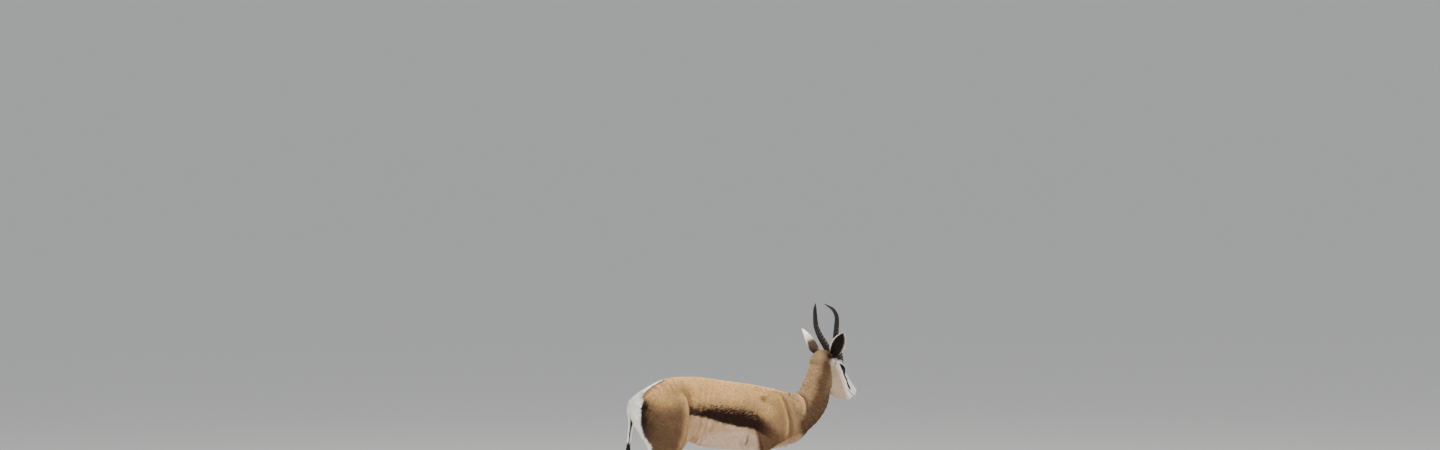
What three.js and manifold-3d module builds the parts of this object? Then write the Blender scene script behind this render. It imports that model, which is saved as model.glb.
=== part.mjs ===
// A springbok ram, life size, standing square with its head turned to its left.
// Units are millimetres: +X runs towards the head, +Y to the animal's left and +Z up.
// The hooves stand at Z 0.
import * as THREE from "three";
import { mergeVertices } from "three/addons/utils/BufferGeometryUtils.js";
import Module from "manifold-3d";

const wasm = await Module();
wasm.setup();

// Driving dimensions
const GAP = 0.3; // between two nodes that meet
const SLIVER = 0.1; // corners closer than this are one corner
const WITHERS = 752; // height over the shoulder
const CROUP = 800; // height over the rump
const BARREL_FLOOR = 497; // lowest line of the belly and chest
const BARREL_HALF_WIDTH = 106;
const FORE_X = 158; // where the forelegs stand
const HIND_X = -338; // where the hocks stand
const STANCE_FORE = 62; // half the track of the forelegs
const STANCE_HIND = 66;
const FORE_STAGGER = 26; // the left foreleg stands this far ahead of the right one
const HIND_STAGGER = 36; // and the left hind leg this far ahead of its neighbour
const FOREARM_CUT = 402; // heights where the leg nodes part
const KNEE_CUT = 262;
const GASKIN_CUT = 452;
const HOCK_CUT = 296;
const CORONET = 40; // top of the hoof wall at the toe
const BODY_CELL = [32, 23, 23.5]; // grid steps of the two skins
const HEAD_CELL = [10, 10, 10];

// Where the head sits: the back of the skull, its turn to the left and its tilt nose down
const HEAD_ORIGIN = new THREE.Vector3(460, 50, 872);
const HEAD_YAW = THREE.MathUtils.degToRad(26);
const HEAD_PITCH = THREE.MathUtils.degToRad(38);
const EYE = { x: 104, y: 33, z: 23, radius: 14 };
const HORN_ROOT = { x: 76, y: 22, z: 52 };

const LEFT = 1;
const RIGHT = -1;
const EAR_ROOT = { [LEFT]: [7, 42, 29], [RIGHT]: [27, 36, 30] };
const SIDES = [
  ["left", LEFT],
  ["right", RIGHT],
];

// Solids and booleans

function toSolid(geometry) {
  const bare = geometry.clone();
  for (const name of Object.keys(bare.attributes)) if (name !== "position") bare.deleteAttribute(name);
  const merged = mergeVertices(bare, 1e-3);
  return new wasm.Manifold(
    new wasm.Mesh({
      numProp: 3,
      vertProperties: merged.attributes.position.array,
      triVerts: new Uint32Array(merged.index.array),
    }),
  );
}

// The mesh of a solid, without the slivers that a cut leaves between corners that all but touch
function toGeometry(solid) {
  const mesh = largest(solid).getMesh();
  const positions = mesh.vertProperties;
  const corners = mesh.triVerts;
  const standIn = Array.from({ length: positions.length / 3 }, (_, i) => i);
  const resolve = (i) => (standIn[i] === i ? i : (standIn[i] = resolve(standIn[i])));
  const at = (i) => new THREE.Vector3().fromArray(positions, i * 3);
  for (let i = 0; i < corners.length; i++) {
    const next = i % 3 === 2 ? i - 2 : i + 1;
    const near = at(corners[i]).distanceTo(at(corners[next])) < SLIVER;
    if (near) standIn[resolve(corners[i])] = resolve(corners[next]);
  }
  const kept = new Map();
  for (let i = 0; i < corners.length; i += 3) {
    const triangle = [0, 1, 2].map((k) => resolve(corners[i + k]));
    if (new Set(triangle).size < 3) continue;
    const key = [...triangle].sort((p, q) => p - q).join();
    if (kept.has(key)) kept.delete(key);
    else kept.set(key, triangle);
  }
  const geometry = new THREE.BufferGeometry();
  geometry.setAttribute("position", new THREE.BufferAttribute(positions, 3));
  geometry.setIndex([...kept.values()].flat());
  return mergeVertices(geometry.toNonIndexed(), 1e-5);
}

function largest(solid) {
  const pieces = solid.decompose();
  return pieces.reduce((best, piece) => (piece.volume() > best.volume() ? piece : best), pieces[0]);
}

// The solid on the side of a plane that its normal points to, pulled back by half the gap
function beyond(solid, normal, point) {
  return solid.trimByPlane(normal.toArray(), normal.dot(point) + GAP / 2);
}

function before(solid, normal, point) {
  return beyond(solid, normal.clone().negate(), point);
}

// Limbs: a smooth spine of oval sections, from stations [x, y, z, half width, half depth]

function sectionsOf(stations, { across = new THREE.Vector3(0, 1, 0), steps = 4 } = {}) {
  const spine = new THREE.CatmullRomCurve3(stations.map((s) => new THREE.Vector3(s[0], s[1], s[2])));
  const sizes = new THREE.CatmullRomCurve3(stations.map((s) => new THREE.Vector3(s[3], s[4], 0)));
  const count = (stations.length - 1) * steps;
  return Array.from({ length: count + 1 }, (_, i) => {
    const t = i / count;
    const tangent = spine.getPoint(Math.min(1, t + 0.01)).sub(spine.getPoint(Math.max(0, t - 0.01)));
    tangent.normalize();
    const side = across.clone().addScaledVector(tangent, -across.dot(tangent)).normalize();
    const size = sizes.getPoint(t);
    const up = tangent.clone().cross(side);
    return { centre: spine.getPoint(t), tangent, side, up, w: size.x, d: size.y };
  });
}

function mirrored(stations, sign) {
  return stations.map(([x, y, z, w, d]) => [x, y * sign, z, w, d]);
}

// How far a point is from a limb's surface, negative inside
function limbDistance(sections) {
  const n = sections.length - 1;
  const centre = sections[Math.floor(n / 2)].centre;
  const reach = Math.max(...sections.map((s) => s.centre.distanceTo(centre) + Math.max(s.w, s.d)));
  const flat = sections.map((s) => [...s.centre, ...s.tangent, ...s.side, ...s.up, s.w, s.d]);
  return (x, y, z, limit) => {
    const far = Math.hypot(x - centre.x, y - centre.y, z - centre.z) - reach;
    if (far > limit) return far;
    let best = Infinity;
    for (let i = 0; i < n; i++) {
      const a = flat[i];
      const b = flat[i + 1];
      const dx = b[0] - a[0];
      const dy = b[1] - a[1];
      const dz = b[2] - a[2];
      const along = ((x - a[0]) * dx + (y - a[1]) * dy + (z - a[2]) * dz) / (dx * dx + dy * dy + dz * dz);
      const t = along < 0 ? 0 : along > 1 ? 1 : along;
      const at = (k) => a[k] + (b[k] - a[k]) * t;
      const px = x - at(0);
      const py = y - at(1);
      const pz = z - at(2);
      const w = at(12);
      const d = at(13);
      const e = Math.min(w, d);
      const u = px * at(6) + py * at(7) + pz * at(8);
      const v = px * at(9) + py * at(10) + pz * at(11);
      const q = t > 0 && t < 1 ? 0 : px * at(3) + py * at(4) + pz * at(5);
      const k0 = Math.hypot(u / w, v / d, q / e);
      const k1 = Math.hypot(u / (w * w), v / (d * d), q / (e * e));
      const distance = k1 < 1e-9 ? -e : (k0 * (k0 - 1)) / k1;
      if (distance < best) best = distance;
    }
    return best;
  };
}

// An oval lump: centre, three half sizes, and how its axes are turned
function lumpDistance(centre, radii, turn = new THREE.Quaternion()) {
  const back = turn.clone().invert();
  const reach = Math.max(...radii);
  const p = new THREE.Vector3();
  return (x, y, z, limit) => {
    const far = Math.hypot(x - centre.x, y - centre.y, z - centre.z) - reach;
    if (far > limit) return far;
    p.set(x - centre.x, y - centre.y, z - centre.z).applyQuaternion(back);
    const k0 = Math.hypot(p.x / radii[0], p.y / radii[1], p.z / radii[2]);
    const k1 = Math.hypot(p.x / radii[0] ** 2, p.y / radii[1] ** 2, p.z / radii[2] ** 2);
    return k1 < 1e-9 ? -Math.min(...radii) : (k0 * (k0 - 1)) / k1;
  };
}

function smoothUnion(parts) {
  return (x, y, z) => {
    let total = Infinity;
    for (const { distance, blend } of parts) {
      const d = distance(x, y, z, total + blend);
      if (total === Infinity) total = d;
      else {
        const h = Math.max(blend - Math.abs(total - d), 0) / blend;
        total = Math.min(total, d) - (h * h * blend) / 4;
      }
    }
    return total;
  };
}

// A closed mesh of the surface where the distance is 0, inside a box
function skinOf(distance, low, high, cell) {
  const n = [0, 1, 2].map((k) => Math.ceil((high[k] - low[k]) / cell[k]) + 1);
  const at = (i, j, k) => (k * n[1] + j) * n[0] + i;
  const field = new Float64Array(n[0] * n[1] * n[2]);
  for (let k = 0; k < n[2]; k++)
    for (let j = 0; j < n[1]; j++)
      for (let i = 0; i < n[0]; i++) {
        const border = [i, j, k].some((m, axis) => m === 0 || m === n[axis] - 1);
        const d = distance(low[0] + i * cell[0], low[1] + j * cell[1], low[2] + k * cell[2]);
        field[at(i, j, k)] = border ? Math.max(d, cell[0] / 2) : d;
      }
  const vertexOf = new Map();
  const positions = [];
  const corners = Array.from({ length: 8 }, (_, c) => [c & 1, (c >> 1) & 1, c >> 2]);
  for (let k = 0; k < n[2] - 1; k++)
    for (let j = 0; j < n[1] - 1; j++)
      for (let i = 0; i < n[0] - 1; i++) {
        const sum = new THREE.Vector3();
        let crossings = 0;
        for (let c = 0; c < 8; c++)
          for (const bit of [1, 2, 4]) {
            if (c & bit) continue;
            const [p, q] = [corners[c], corners[c | bit]];
            const a = field[at(i + p[0], j + p[1], k + p[2])];
            const b = field[at(i + q[0], j + q[1], k + q[2])];
            if (a < 0 === b < 0) continue;
            const t = a / (a - b);
            sum.add(new THREE.Vector3(...p).lerp(new THREE.Vector3(...q), t));
            crossings++;
          }
        if (!crossings) continue;
        const v = sum.divideScalar(crossings).add(new THREE.Vector3(i, j, k));
        v.multiply(new THREE.Vector3(...cell));
        v.add(new THREE.Vector3(...low));
        const edge = [i, j, k].some((m, axis) => m === 0 || m >= n[axis] - 2);
        if (!edge) settle(v, distance, Math.min(...cell) * 0.45);
        vertexOf.set(at(i, j, k), positions.length / 3);
        positions.push(v.x, v.y, v.z);
      }
  const index = [];
  const steps = [1, n[0], n[0] * n[1]];
  for (let k = 0; k < n[2] - 1; k++)
    for (let j = 0; j < n[1] - 1; j++)
      for (let i = 0; i < n[0] - 1; i++)
        for (let axis = 0; axis < 3; axis++) {
          const here = at(i, j, k);
          const a = field[here];
          const b = field[here + steps[axis]];
          if (a < 0 === b < 0) continue;
          const [s, t] = [steps[(axis + 1) % 3], steps[(axis + 2) % 3]];
          const quad = [here - s - t, here - t, here, here - s].map((cellIndex) => vertexOf.get(cellIndex));
          if (a > 0) quad.reverse();
          index.push(...split(quad, positions));
        }
  const geometry = new THREE.BufferGeometry();
  geometry.setAttribute("position", new THREE.Float32BufferAttribute(positions, 3));
  geometry.setIndex(index);
  return geometry;
}

// Moves a point onto the surface by a few damped Newton steps, never further than the reach
function settle(v, distance, reach) {
  const step = 0.5;
  const start = v.clone();
  for (let round = 0; round < 3; round++) {
    const d = distance(v.x, v.y, v.z);
    const slope = new THREE.Vector3(
      distance(v.x + step, v.y, v.z) - d,
      distance(v.x, v.y + step, v.z) - d,
      distance(v.x, v.y, v.z + step) - d,
    ).divideScalar(step);
    v.addScaledVector(slope, -d / Math.max(slope.lengthSq(), 0.05));
  }
  const moved = v.clone().sub(start);
  if (moved.length() > reach) v.copy(start).add(moved.setLength(reach));
}

// The two triangles of a quad, along its shorter diagonal
function split([a, b, c, d], positions) {
  const p = (m) => new THREE.Vector3().fromArray(positions, m * 3);
  return p(a).distanceTo(p(c)) < p(b).distanceTo(p(d)) ? [a, b, c, a, c, d] : [a, b, d, b, c, d];
}

// A closed mesh from rings of equally many points, each ring a list of Vector3
function ringMesh(rings) {
  const m = rings[0].length;
  const positions = rings.flat().flatMap((v) => v.toArray());
  const sumOf = (ring) => ring.reduce((sum, v) => sum.add(v), new THREE.Vector3());
  const centreOf = (ring) => sumOf(ring).divideScalar(m).toArray();
  positions.push(...centreOf(rings[0]), ...centreOf(rings.at(-1)));
  const index = [];
  for (let i = 0; i < rings.length - 1; i++)
    for (let j = 0; j < m; j++) {
      const k = (j + 1) % m;
      index.push(...split([i * m + j, i * m + k, (i + 1) * m + k, (i + 1) * m + j], positions));
    }
  const foot = rings.length * m;
  const last = (rings.length - 1) * m;
  for (let j = 0; j < m; j++) {
    const k = (j + 1) % m;
    index.push(foot, k, j, foot + 1, last + j, last + k);
  }
  const geometry = new THREE.BufferGeometry();
  geometry.setAttribute("position", new THREE.Float32BufferAttribute(positions, 3));
  geometry.setIndex(index);
  const solid = toSolid(geometry);
  if (solid.volume() > 0) return solid;
  for (let i = 0; i < index.length; i += 3) [index[i + 1], index[i + 2]] = [index[i + 2], index[i + 1]];
  geometry.setIndex(index);
  return toSolid(geometry);
}

function ovalRing(section, points, grow = 0) {
  return Array.from({ length: points }, (_, j) => {
    const a = (j / points) * 2 * Math.PI;
    return section.centre
      .clone()
      .addScaledVector(section.side, (section.w + grow) * Math.cos(a))
      .addScaledVector(section.up, (section.d + grow) * Math.sin(a));
  });
}

function tube(sections, points, grow = 0) {
  return ringMesh(sections.map((s) => ovalRing(s, points, grow)));
}

function lump(centre, radii, detail = 12) {
  const ball = new THREE.SphereGeometry(1, detail, Math.round(detail / 2) + 1).scale(...radii);
  return toSolid(ball.translate(centre.x, centre.y, centre.z));
}

// The head's own frame: x towards the nose, y to the left, z up from the forehead

const headTurn = new THREE.Quaternion()
  .setFromAxisAngle(new THREE.Vector3(0, 0, 1), HEAD_YAW)
  .multiply(new THREE.Quaternion().setFromAxisAngle(new THREE.Vector3(0, 1, 0), HEAD_PITCH));
const yawTurn = new THREE.Quaternion().setFromAxisAngle(new THREE.Vector3(0, 0, 1), HEAD_YAW);

function inHead(x, y, z) {
  return new THREE.Vector3(x, y, z).applyQuaternion(headTurn).add(HEAD_ORIGIN);
}

function alongHead(x, y, z) {
  return new THREE.Vector3(x, y, z).applyQuaternion(headTurn);
}

function headStations(stations) {
  return stations.map(([x, y, z, w, d]) => [...inHead(x, y, z), w, d]);
}

// Trunk, neck and brisket

function trunkParts() {
  const barrel = [
    [-332, 0, 660, 52, 58],
    [-290, 0, 664, 74, 84],
    [-215, 0, 674, 88, 110],
    [-110, 0, 662, 92, 128],
    [-15, 0, 643, 102, 136],
    [75, 0, 633, BARREL_HALF_WIDTH, 136],
    [160, 0, 627, 98, 130],
    [240, 0, 626, 82, 116],
    [310, 0, 628, 60, 90],
  ];
  const back = [
    [-345, 0, 699, 30, 28],
    [-300, 0, 722, 40, 34],
    [-215, 0, CROUP - 46, 46, 42],
    [-100, 0, CROUP - 40, 44, 40],
    [-10, 0, 746, 44, 40],
    [75, 0, 734, 42, 38],
    [165, 0, 719, 38, 36],
    [225, 0, WITHERS - 54, 34, 35],
    [300, 0, 662, 32, 34],
  ];
  const belly = [
    [-130, 0, 578, 52, 36],
    [-60, 0, 556, 62, 40],
    [30, 0, 542, 68, 42],
    [120, 0, BARREL_FLOOR + 42, 66, 42],
    [220, 0, BARREL_FLOOR + 38, 48, 40],
    [310, 0, 562, 40, 42],
  ];
  const neck = [
    [235, 0, 634, 62, 84],
    [352, 3, 633, 60, 76],
    [412, 12, 689, 53, 72],
    [438, 24, 748, 48, 64],
    [456, 36, 800, 45, 58],
    [468, 46, 846, 42, 52],
  ];
  return [
    { distance: limbDistance(sectionsOf(barrel)), blend: 30 },
    { distance: limbDistance(sectionsOf(back)), blend: 40 },
    { distance: limbDistance(sectionsOf(belly)), blend: 40 },
    { distance: limbDistance(sectionsOf(neck)), blend: 55 },
    { distance: lumpDistance(new THREE.Vector3(318, 0, 582), [42, 44, 40]), blend: 50 },
  ];
}

// Muscle of the shoulder and the thigh, and the bony leg below, as stations down to the coronet

function foreleg(sign) {
  const x = FORE_X + (sign === LEFT ? FORE_STAGGER : 0);
  const y = STANCE_FORE;
  return mirrored(
    [
      [x - 4, y + 10, 530, 28, 50],
      [x - 2, y + 8, 490, 27, 42],
      [x, y + 5, 440, 23, 31],
      [x + 3, y + 3, 385, 18.5, 23],
      [x + 5, y + 1, 325, 15.5, 18],
      [x + 8, y, 285, 17, 19.5],
      [x + 8, y, 258, 17.5, 19.5],
      [x + 5, y, 232, 13.5, 15.5],
      [x + 4, y, 170, 10.5, 14],
      [x + 4, y, 118, 11, 14.5],
      [x + 3, y, 92, 14.5, 18],
      [x + 10, y, 72, 13, 14.5],
      [x + 22, y, 48, 16, 15.5],
      [x + 29, y, 30, 17.5, 18],
    ],
    sign,
  );
}

function hindleg(sign) {
  const x = HIND_X + (sign === LEFT ? HIND_STAGGER : 0);
  const y = STANCE_HIND;
  return mirrored(
    [
      [x + 130, y + 12, 590, 32, 66],
      [x + 104, y + 10, 540, 31, 62],
      [x + 66, y + 6, 480, 25, 46],
      [x + 34, y + 3, 420, 18.5, 31],
      [x + 10, y + 1, 365, 15.5, 25],
      [x - 6, y, 325, 16, 25],
      [x - 6, y, 292, 16, 22],
      [x - 2, y, 255, 13, 17],
      [x + 1, y, 190, 11, 15],
      [x + 3, y, 124, 11.5, 15],
      [x + 3, y, 94, 15, 18],
      [x + 10, y, 72, 13, 15],
      [x + 21, y, 48, 16, 15.5],
      [x + 28, y, 30, 17.5, 18],
    ],
    sign,
  );
}

function legParts(sign) {
  const foreX = sign === LEFT ? FORE_STAGGER : 0;
  const hindX = sign === LEFT ? HIND_STAGGER : 0;
  const along = { across: new THREE.Vector3(0, 1, 0) };
  const scapula = [
    [218, 46, 712, 24, 38],
    [240, 68, 665, 27, 44],
    [268 + foreX / 2, 76, 615, 27, 42],
    [282 + foreX / 2, 74, 582, 26, 34],
  ];
  const triceps = [
    [212, 70, 650, 22, 46],
    [190 + foreX / 2, 80, 590, 25, 54],
    [160 + foreX, 76, 540, 25, 44],
    [132 + foreX, 66, 508, 17, 20],
  ];
  const upperArm = [
    [280 + foreX / 2, 72, 585, 26, 34],
    [230 + foreX, 74, 548, 26, 36],
    [175 + foreX, 72, 515, 26, 38],
  ];
  const rump = [
    [-165, 52, 742, 40, 40],
    [-240, 58, 712, 42, 58],
    [-300, 52, 672, 36, 56],
    [-335, 44, 640, 30, 40],
  ];
  const thigh = [
    [-232, 62, 690, 38, 70],
    [-236 + hindX / 2, 76, 630, 40, 92],
    [-240 + hindX, 77, 570, 36, 88],
    [-256 + hindX, 73, 505, 28, 56],
  ];
  const hamstring = [
    [-345, 40, 668, 26, 26],
    [-348 + hindX / 3, 48, 622, 28, 26],
    [-322 + hindX * 0.7, 58, 565, 26, 24],
    [-284 + hindX, 64, 508, 22, 24],
  ];
  const stifle = [
    [-150, 64, 690, 22, 26],
    [-152 + hindX / 2, 76, 630, 26, 30],
    [-166 + hindX, 80, 580, 26, 32],
    [-196 + hindX, 77, 535, 24, 34],
  ];
  const named = { scapula, triceps, upperArm, rump, thigh, hamstring, stifle };
  const blends = { scapula: 34, triceps: 30, upperArm: 30, rump: 40, thigh: 40, hamstring: 34, stifle: 34 };
  return [
    ...Object.entries(named).map(([name, stations]) => ({
      distance: limbDistance(sectionsOf(mirrored(stations, sign), along)),
      blend: blends[name],
    })),
    { distance: limbDistance(sectionsOf(foreleg(sign), along)), blend: 24 },
    { distance: limbDistance(sectionsOf(hindleg(sign), along)), blend: 24 },
  ];
}

// Skull, cheeks, orbits and muzzle

function headParts() {
  const skull = [
    [-2, 0, 4, 30, 34],
    [30, 0, -3, 41, 47],
    [68, 0, -11, 41, 58],
    [105, 0, -13, 37, 54],
    [140, 0, -11, 29, 44],
    [175, 0, -10, 24, 34],
    [210, 0, -10, 21, 26],
    [236, 0, -9, 17, 17],
  ];
  const bridge = [
    [84, 0, 34, 22, 14],
    [130, 0, 26, 17, 12],
    [178, 0, 14, 14, 10],
    [226, 0, 3, 13, 9],
  ];
  const jaw = [
    [50, 0, -62, 27, 30],
    [100, 0, -62, 24, 27],
    [145, 0, -57, 20, 26],
    [185, 0, -46, 16, 26],
    [222, 0, -32, 12, 13],
  ];
  const across = alongHead(0, 1, 0);
  const placed = (x, y, z, radii, blend, turn = headTurn) => ({
    distance: lumpDistance(inHead(x, y, z), radii, turn),
    blend,
  });
  const paired = SIDES.flatMap(([, sign]) => [
    placed(76, 25 * sign, -44, [38, 15, 34], 22),
    placed(EYE.x - 2, 27 * sign, EYE.z, [27, 19, 23], 16),
    placed(132, 25 * sign, 0, [30, 8, 12], 14),
    placed(HORN_ROOT.x, 19 * sign, 40, [19, 17, 15], 14),
    placed(EAR_ROOT[sign][0], (EAR_ROOT[sign][1] - 4) * sign, 24, [18, 14, 18], 14),
    placed(226, 11 * sign, -7, [17, 10, 13], 10),
    placed(216, 9 * sign, -20, [24, 11, 9], 8),
  ]);
  return [
    { distance: limbDistance(sectionsOf(headStations(skull), { across })), blend: 26 },
    { distance: limbDistance(sectionsOf(headStations(bridge), { across })), blend: 16 },
    placed(18, 0, 30, [32, 32, 20], 22),
    { distance: limbDistance(sectionsOf(headStations(jaw), { across })), blend: 20 },
    placed(225, 0, -36, [19, 12, 12], 9),
    ...paired,
  ];
}

const flesh = smoothUnion([...trunkParts(), ...legParts(LEFT), ...legParts(RIGHT), ...headParts()]);

// The point where a ray from inside the head leaves the skin
function onSkin(from, towards) {
  const direction = towards.clone().normalize();
  let low = 0;
  let high = 90;
  for (let round = 0; round < 24; round++) {
    const middle = (low + high) / 2;
    const p = from.clone().addScaledVector(direction, middle);
    if (flesh(p.x, p.y, p.z) < 0) low = middle;
    else high = middle;
  }
  return from.clone().addScaledVector(direction, low);
}

// Horns: a lyre with rings on its lower part, from stations behind, beside and above the root

const HORN = {
  rings: 11,
  pitch: 15,
  ridge: 2.1,
  points: 10,
  // forward, outward, upward, radius
  stations: [
    [8, -3, -18, 17.5],
    [0, 0, 0, 17],
    [-11, 9, 27, 15.8],
    [-26, 18, 60, 14.6],
    [-45, 32, 100, 13],
    [-55, 48, 144, 11],
    [-58, 52, 194, 8.8],
    [-68, 40, 223, 6.6],
    [-90, 10, 246, 1.2],
  ],
};

function hornSections(sign) {
  const root = inHead(HORN_ROOT.x, HORN_ROOT.y * sign, HORN_ROOT.z);
  const stations = HORN.stations.map(([f, o, u, r]) => {
    const p = new THREE.Vector3(f, o * sign, u).applyQuaternion(yawTurn).add(root);
    return [p.x, p.y, p.z, r * 0.94, r * 1.06];
  });
  return sectionsOf(stations, { across: new THREE.Vector3(0, 1, 0).applyQuaternion(yawTurn), steps: 6 });
}

function horn(sign) {
  const sections = hornSections(sign);
  let run = 0;
  const rooted = 20;
  const ringed = HORN.rings * HORN.pitch + rooted;
  sections.forEach((s, i) => {
    if (i) run += s.centre.distanceTo(sections[i - 1].centre);
    if (run < rooted || run > ringed) return;
    const phase = ((run - rooted) / HORN.pitch) % 1;
    const fade = 1 - (run - rooted) / (ringed - rooted) / 2;
    const ridge = HORN.ridge * fade * (phase < 0.7 ? phase / 0.7 : (1 - phase) / 0.3);
    s.w += ridge - HORN.ridge * 0.4;
    s.d += ridge - HORN.ridge * 0.4;
  });
  return tube(sections, HORN.points);
}

function hornSocket(sign) {
  const stretch = hornSections(sign).slice(0, 13);
  stretch[0].centre.addScaledVector(stretch[0].tangent, -GAP);
  return tube(stretch, HORN.points, GAP + HORN.ridge * 0.6);
}

// Ears: a leaf rolled into a tube at its root and open to the side and the back

const EAR = {
  length: 140,
  wall: 3.4,
  points: 9,
  // forward, outward and upward lean: the left ear is turned further out and back than the right one
  lean: { [LEFT]: [-0.12, 0.64, 0.76], [RIGHT]: [-0.04, 0.6, 0.79] },
  // share of the length, half width, half wrap in degrees, depth of the back
  stations: [
    [-0.13, 12, 150, 12],
    [-0.02, 15, 148, 15],
    [0.1, 18, 140, 17],
    [0.22, 23, 122, 19],
    [0.36, 28, 102, 20],
    [0.5, 31, 86, 20],
    [0.64, 30, 74, 18],
    [0.78, 24, 64, 14],
    [0.89, 15.5, 56, 9],
    [0.96, 8, 50, 5],
    [1, 3, 46, 3],
  ],
};

function earFrame(sign) {
  const [forward, outward, upward] = EAR.lean[sign];
  const axis = new THREE.Vector3(forward, outward * sign, upward).applyQuaternion(yawTurn).normalize();
  const opening = new THREE.Vector3(-0.55, 0.72 * sign, -0.2).applyQuaternion(yawTurn);
  opening.addScaledVector(axis, -opening.dot(axis)).normalize();
  const across = axis.clone().cross(opening);
  const [x, y, z] = EAR_ROOT[sign];
  return { axis, opening, across, root: inHead(x, y * sign, z) };
}

function earRing(sign, [share, half, wrap, depth], { grow = 0, solid = false } = {}) {
  const { axis, opening, across, root } = earFrame(sign);
  const turn = THREE.MathUtils.degToRad(wrap);
  const radius = half / Math.sin(Math.min(turn, Math.PI / 2)) + grow;
  const place = (a, r, back) =>
    root
      .clone()
      .addScaledVector(axis, share * EAR.length)
      .addScaledVector(across, r * Math.sin(a))
      .addScaledVector(opening, radius - back - r * Math.cos(a));
  const angles = Array.from({ length: EAR.points }, (_, j) => turn * ((2 * j) / (EAR.points - 1) - 1));
  const wall = Math.min(EAR.wall, half * 0.6);
  const outer = angles.map((a) => place(a, radius, depth));
  const [narrowing, innerRadius] = solid ? [0.4, radius * 0.12] : [0.97, radius - wall];
  const inner = angles.map((a) => place(a * narrowing, innerRadius, depth));
  return [...outer, ...inner.reverse()];
}

function ear(sign) {
  const rings = EAR.stations.map((station, i) => earRing(sign, station, { solid: i < 3 }));
  return ringMesh(rings);
}

function earSocket(sign) {
  const { axis, opening, root } = earFrame(sign);
  const plug = EAR.stations.slice(0, 5).map(([share, half, , depth]) => {
    const r = half + GAP * 2;
    const centre = root.clone().addScaledVector(axis, share * EAR.length);
    centre.addScaledVector(opening, half - depth);
    return { centre, side: axis.clone().cross(opening), up: opening, w: r, d: r };
  });
  plug[0].centre.addScaledVector(axis, -GAP);
  return tube(plug, 14);
}

// Eyes, lids, nostrils and mouth

function eyeCentre(sign) {
  return inHead(EYE.x, EYE.y * sign, EYE.z);
}

function eyeball(sign, grow = 0) {
  const r = EYE.radius + grow;
  return lump(eyeCentre(sign), [r, r, r], 14);
}

// The almond between the lids, as a prism that points out of the socket
function lidOpening(sign) {
  const half = EYE.radius * 0.86;
  const almond = new THREE.Shape();
  almond.moveTo(-half, -1);
  almond.quadraticCurveTo(-1, half * 1.16, half, 2);
  almond.quadraticCurveTo(1, -half * 0.98, -half, -1);
  const prism = new THREE.ExtrudeGeometry(almond, { depth: 30, bevelEnabled: false, curveSegments: 9 });
  const out = alongHead(0.12, sign, 0.14).normalize();
  const back = alongHead(-1, 0, 0.18);
  back.addScaledVector(out, -back.dot(out)).normalize();
  const up = out.clone().cross(back);
  const frame = sign === LEFT ? [back.clone().negate(), up.clone().negate(), out] : [back, up, out];
  if (frame[1].z < 0) frame.forEach((v, i) => i < 2 && v.negate());
  const c = eyeCentre(sign);
  prism.applyMatrix4(new THREE.Matrix4().makeBasis(...frame).setPosition(c));
  return toSolid(prism);
}

// A groove along the lips, from one corner of the mouth round the front to the other
function mouthGroove() {
  const corner = { x: 186, z: -19 };
  const front = { x: 212, z: -20 };
  const turns = 12;
  const points = [onSkin(inHead(corner.x - 6, 0, corner.z + 1.5), alongHead(0, -1, 0))];
  for (let i = 0; i <= turns; i++) {
    const a = Math.PI * (i / turns - 0.5);
    const from = inHead(front.x, 0, front.z);
    points.push(onSkin(from, alongHead(Math.cos(a) * 1.3, Math.sin(a), -0.02)));
  }
  points.push(onSkin(inHead(corner.x - 6, 0, corner.z + 1.5), alongHead(0, 1, 0)));
  const groove = points.map((p) => [p.x, p.y, p.z, 2.2, 1.3]);
  return tube(sectionsOf(groove, { across: alongHead(0.1, 0, -1), steps: 2 }), 6);
}

function nostril(sign) {
  const centre = inHead(239, 11 * sign, -2);
  const slit = new THREE.SphereGeometry(1, 12, 8).scale(8, 3.2, 3.6);
  const turn = headTurn
    .clone()
    .multiply(new THREE.Quaternion().setFromEuler(new THREE.Euler(0.5 * sign, -0.5, -0.75 * sign)));
  slit.applyQuaternion(turn).translate(centre.x, centre.y, centre.z);
  return toSolid(slit);
}

// Tail: a dock that hangs from the rump and a tuft of tapered locks

const TAIL = [
  [-330, 0, 706, 15, 13],
  [-353, 0, 699, 16, 13],
  [-371, -1, 668, 14, 12],
  [-379, -3, 620, 12, 11],
  [-387, -5, 570, 9.5, 9.5],
  [-394, -7, 520, 8, 8.5],
];
const TUFT = { top: 520, locks: 8, length: 88, width: 12, thick: 3.6, seed: 7 };

function tail() {
  return tube(sectionsOf(TAIL, { steps: 4 }), 10);
}

function tailSocket() {
  const dock = sectionsOf(TAIL, { steps: 4 });
  dock[0].centre.addScaledVector(dock[0].tangent, -GAP);
  return tube(dock, 10, GAP * 1.2);
}

// A number from 0 to 1 that is the same on each run
function seeded(seed) {
  let state = seed;
  return () => {
    state = (state * 16807) % 2147483647;
    return state / 2147483647;
  };
}

function lock(root, direction, bend, length, width, thick) {
  const flat = direction.clone().cross(bend).normalize();
  const shares = [0, 0.25, 0.5, 0.75, 1];
  const sizes = [0.7, 1, 0.85, 0.55, 0.08];
  const rings = shares.map((t, i) => {
    const centre = root.clone().addScaledVector(direction, t * length);
    centre.addScaledVector(bend, t * (1 - t) * length * 0.12);
    const w = (width / 2) * sizes[i];
    const d = (thick / 2) * sizes[i] + 0.25;
    return ovalRing({ centre, side: flat, up: bend.clone().normalize(), w, d }, 6);
  });
  return ringMesh(rings);
}

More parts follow.
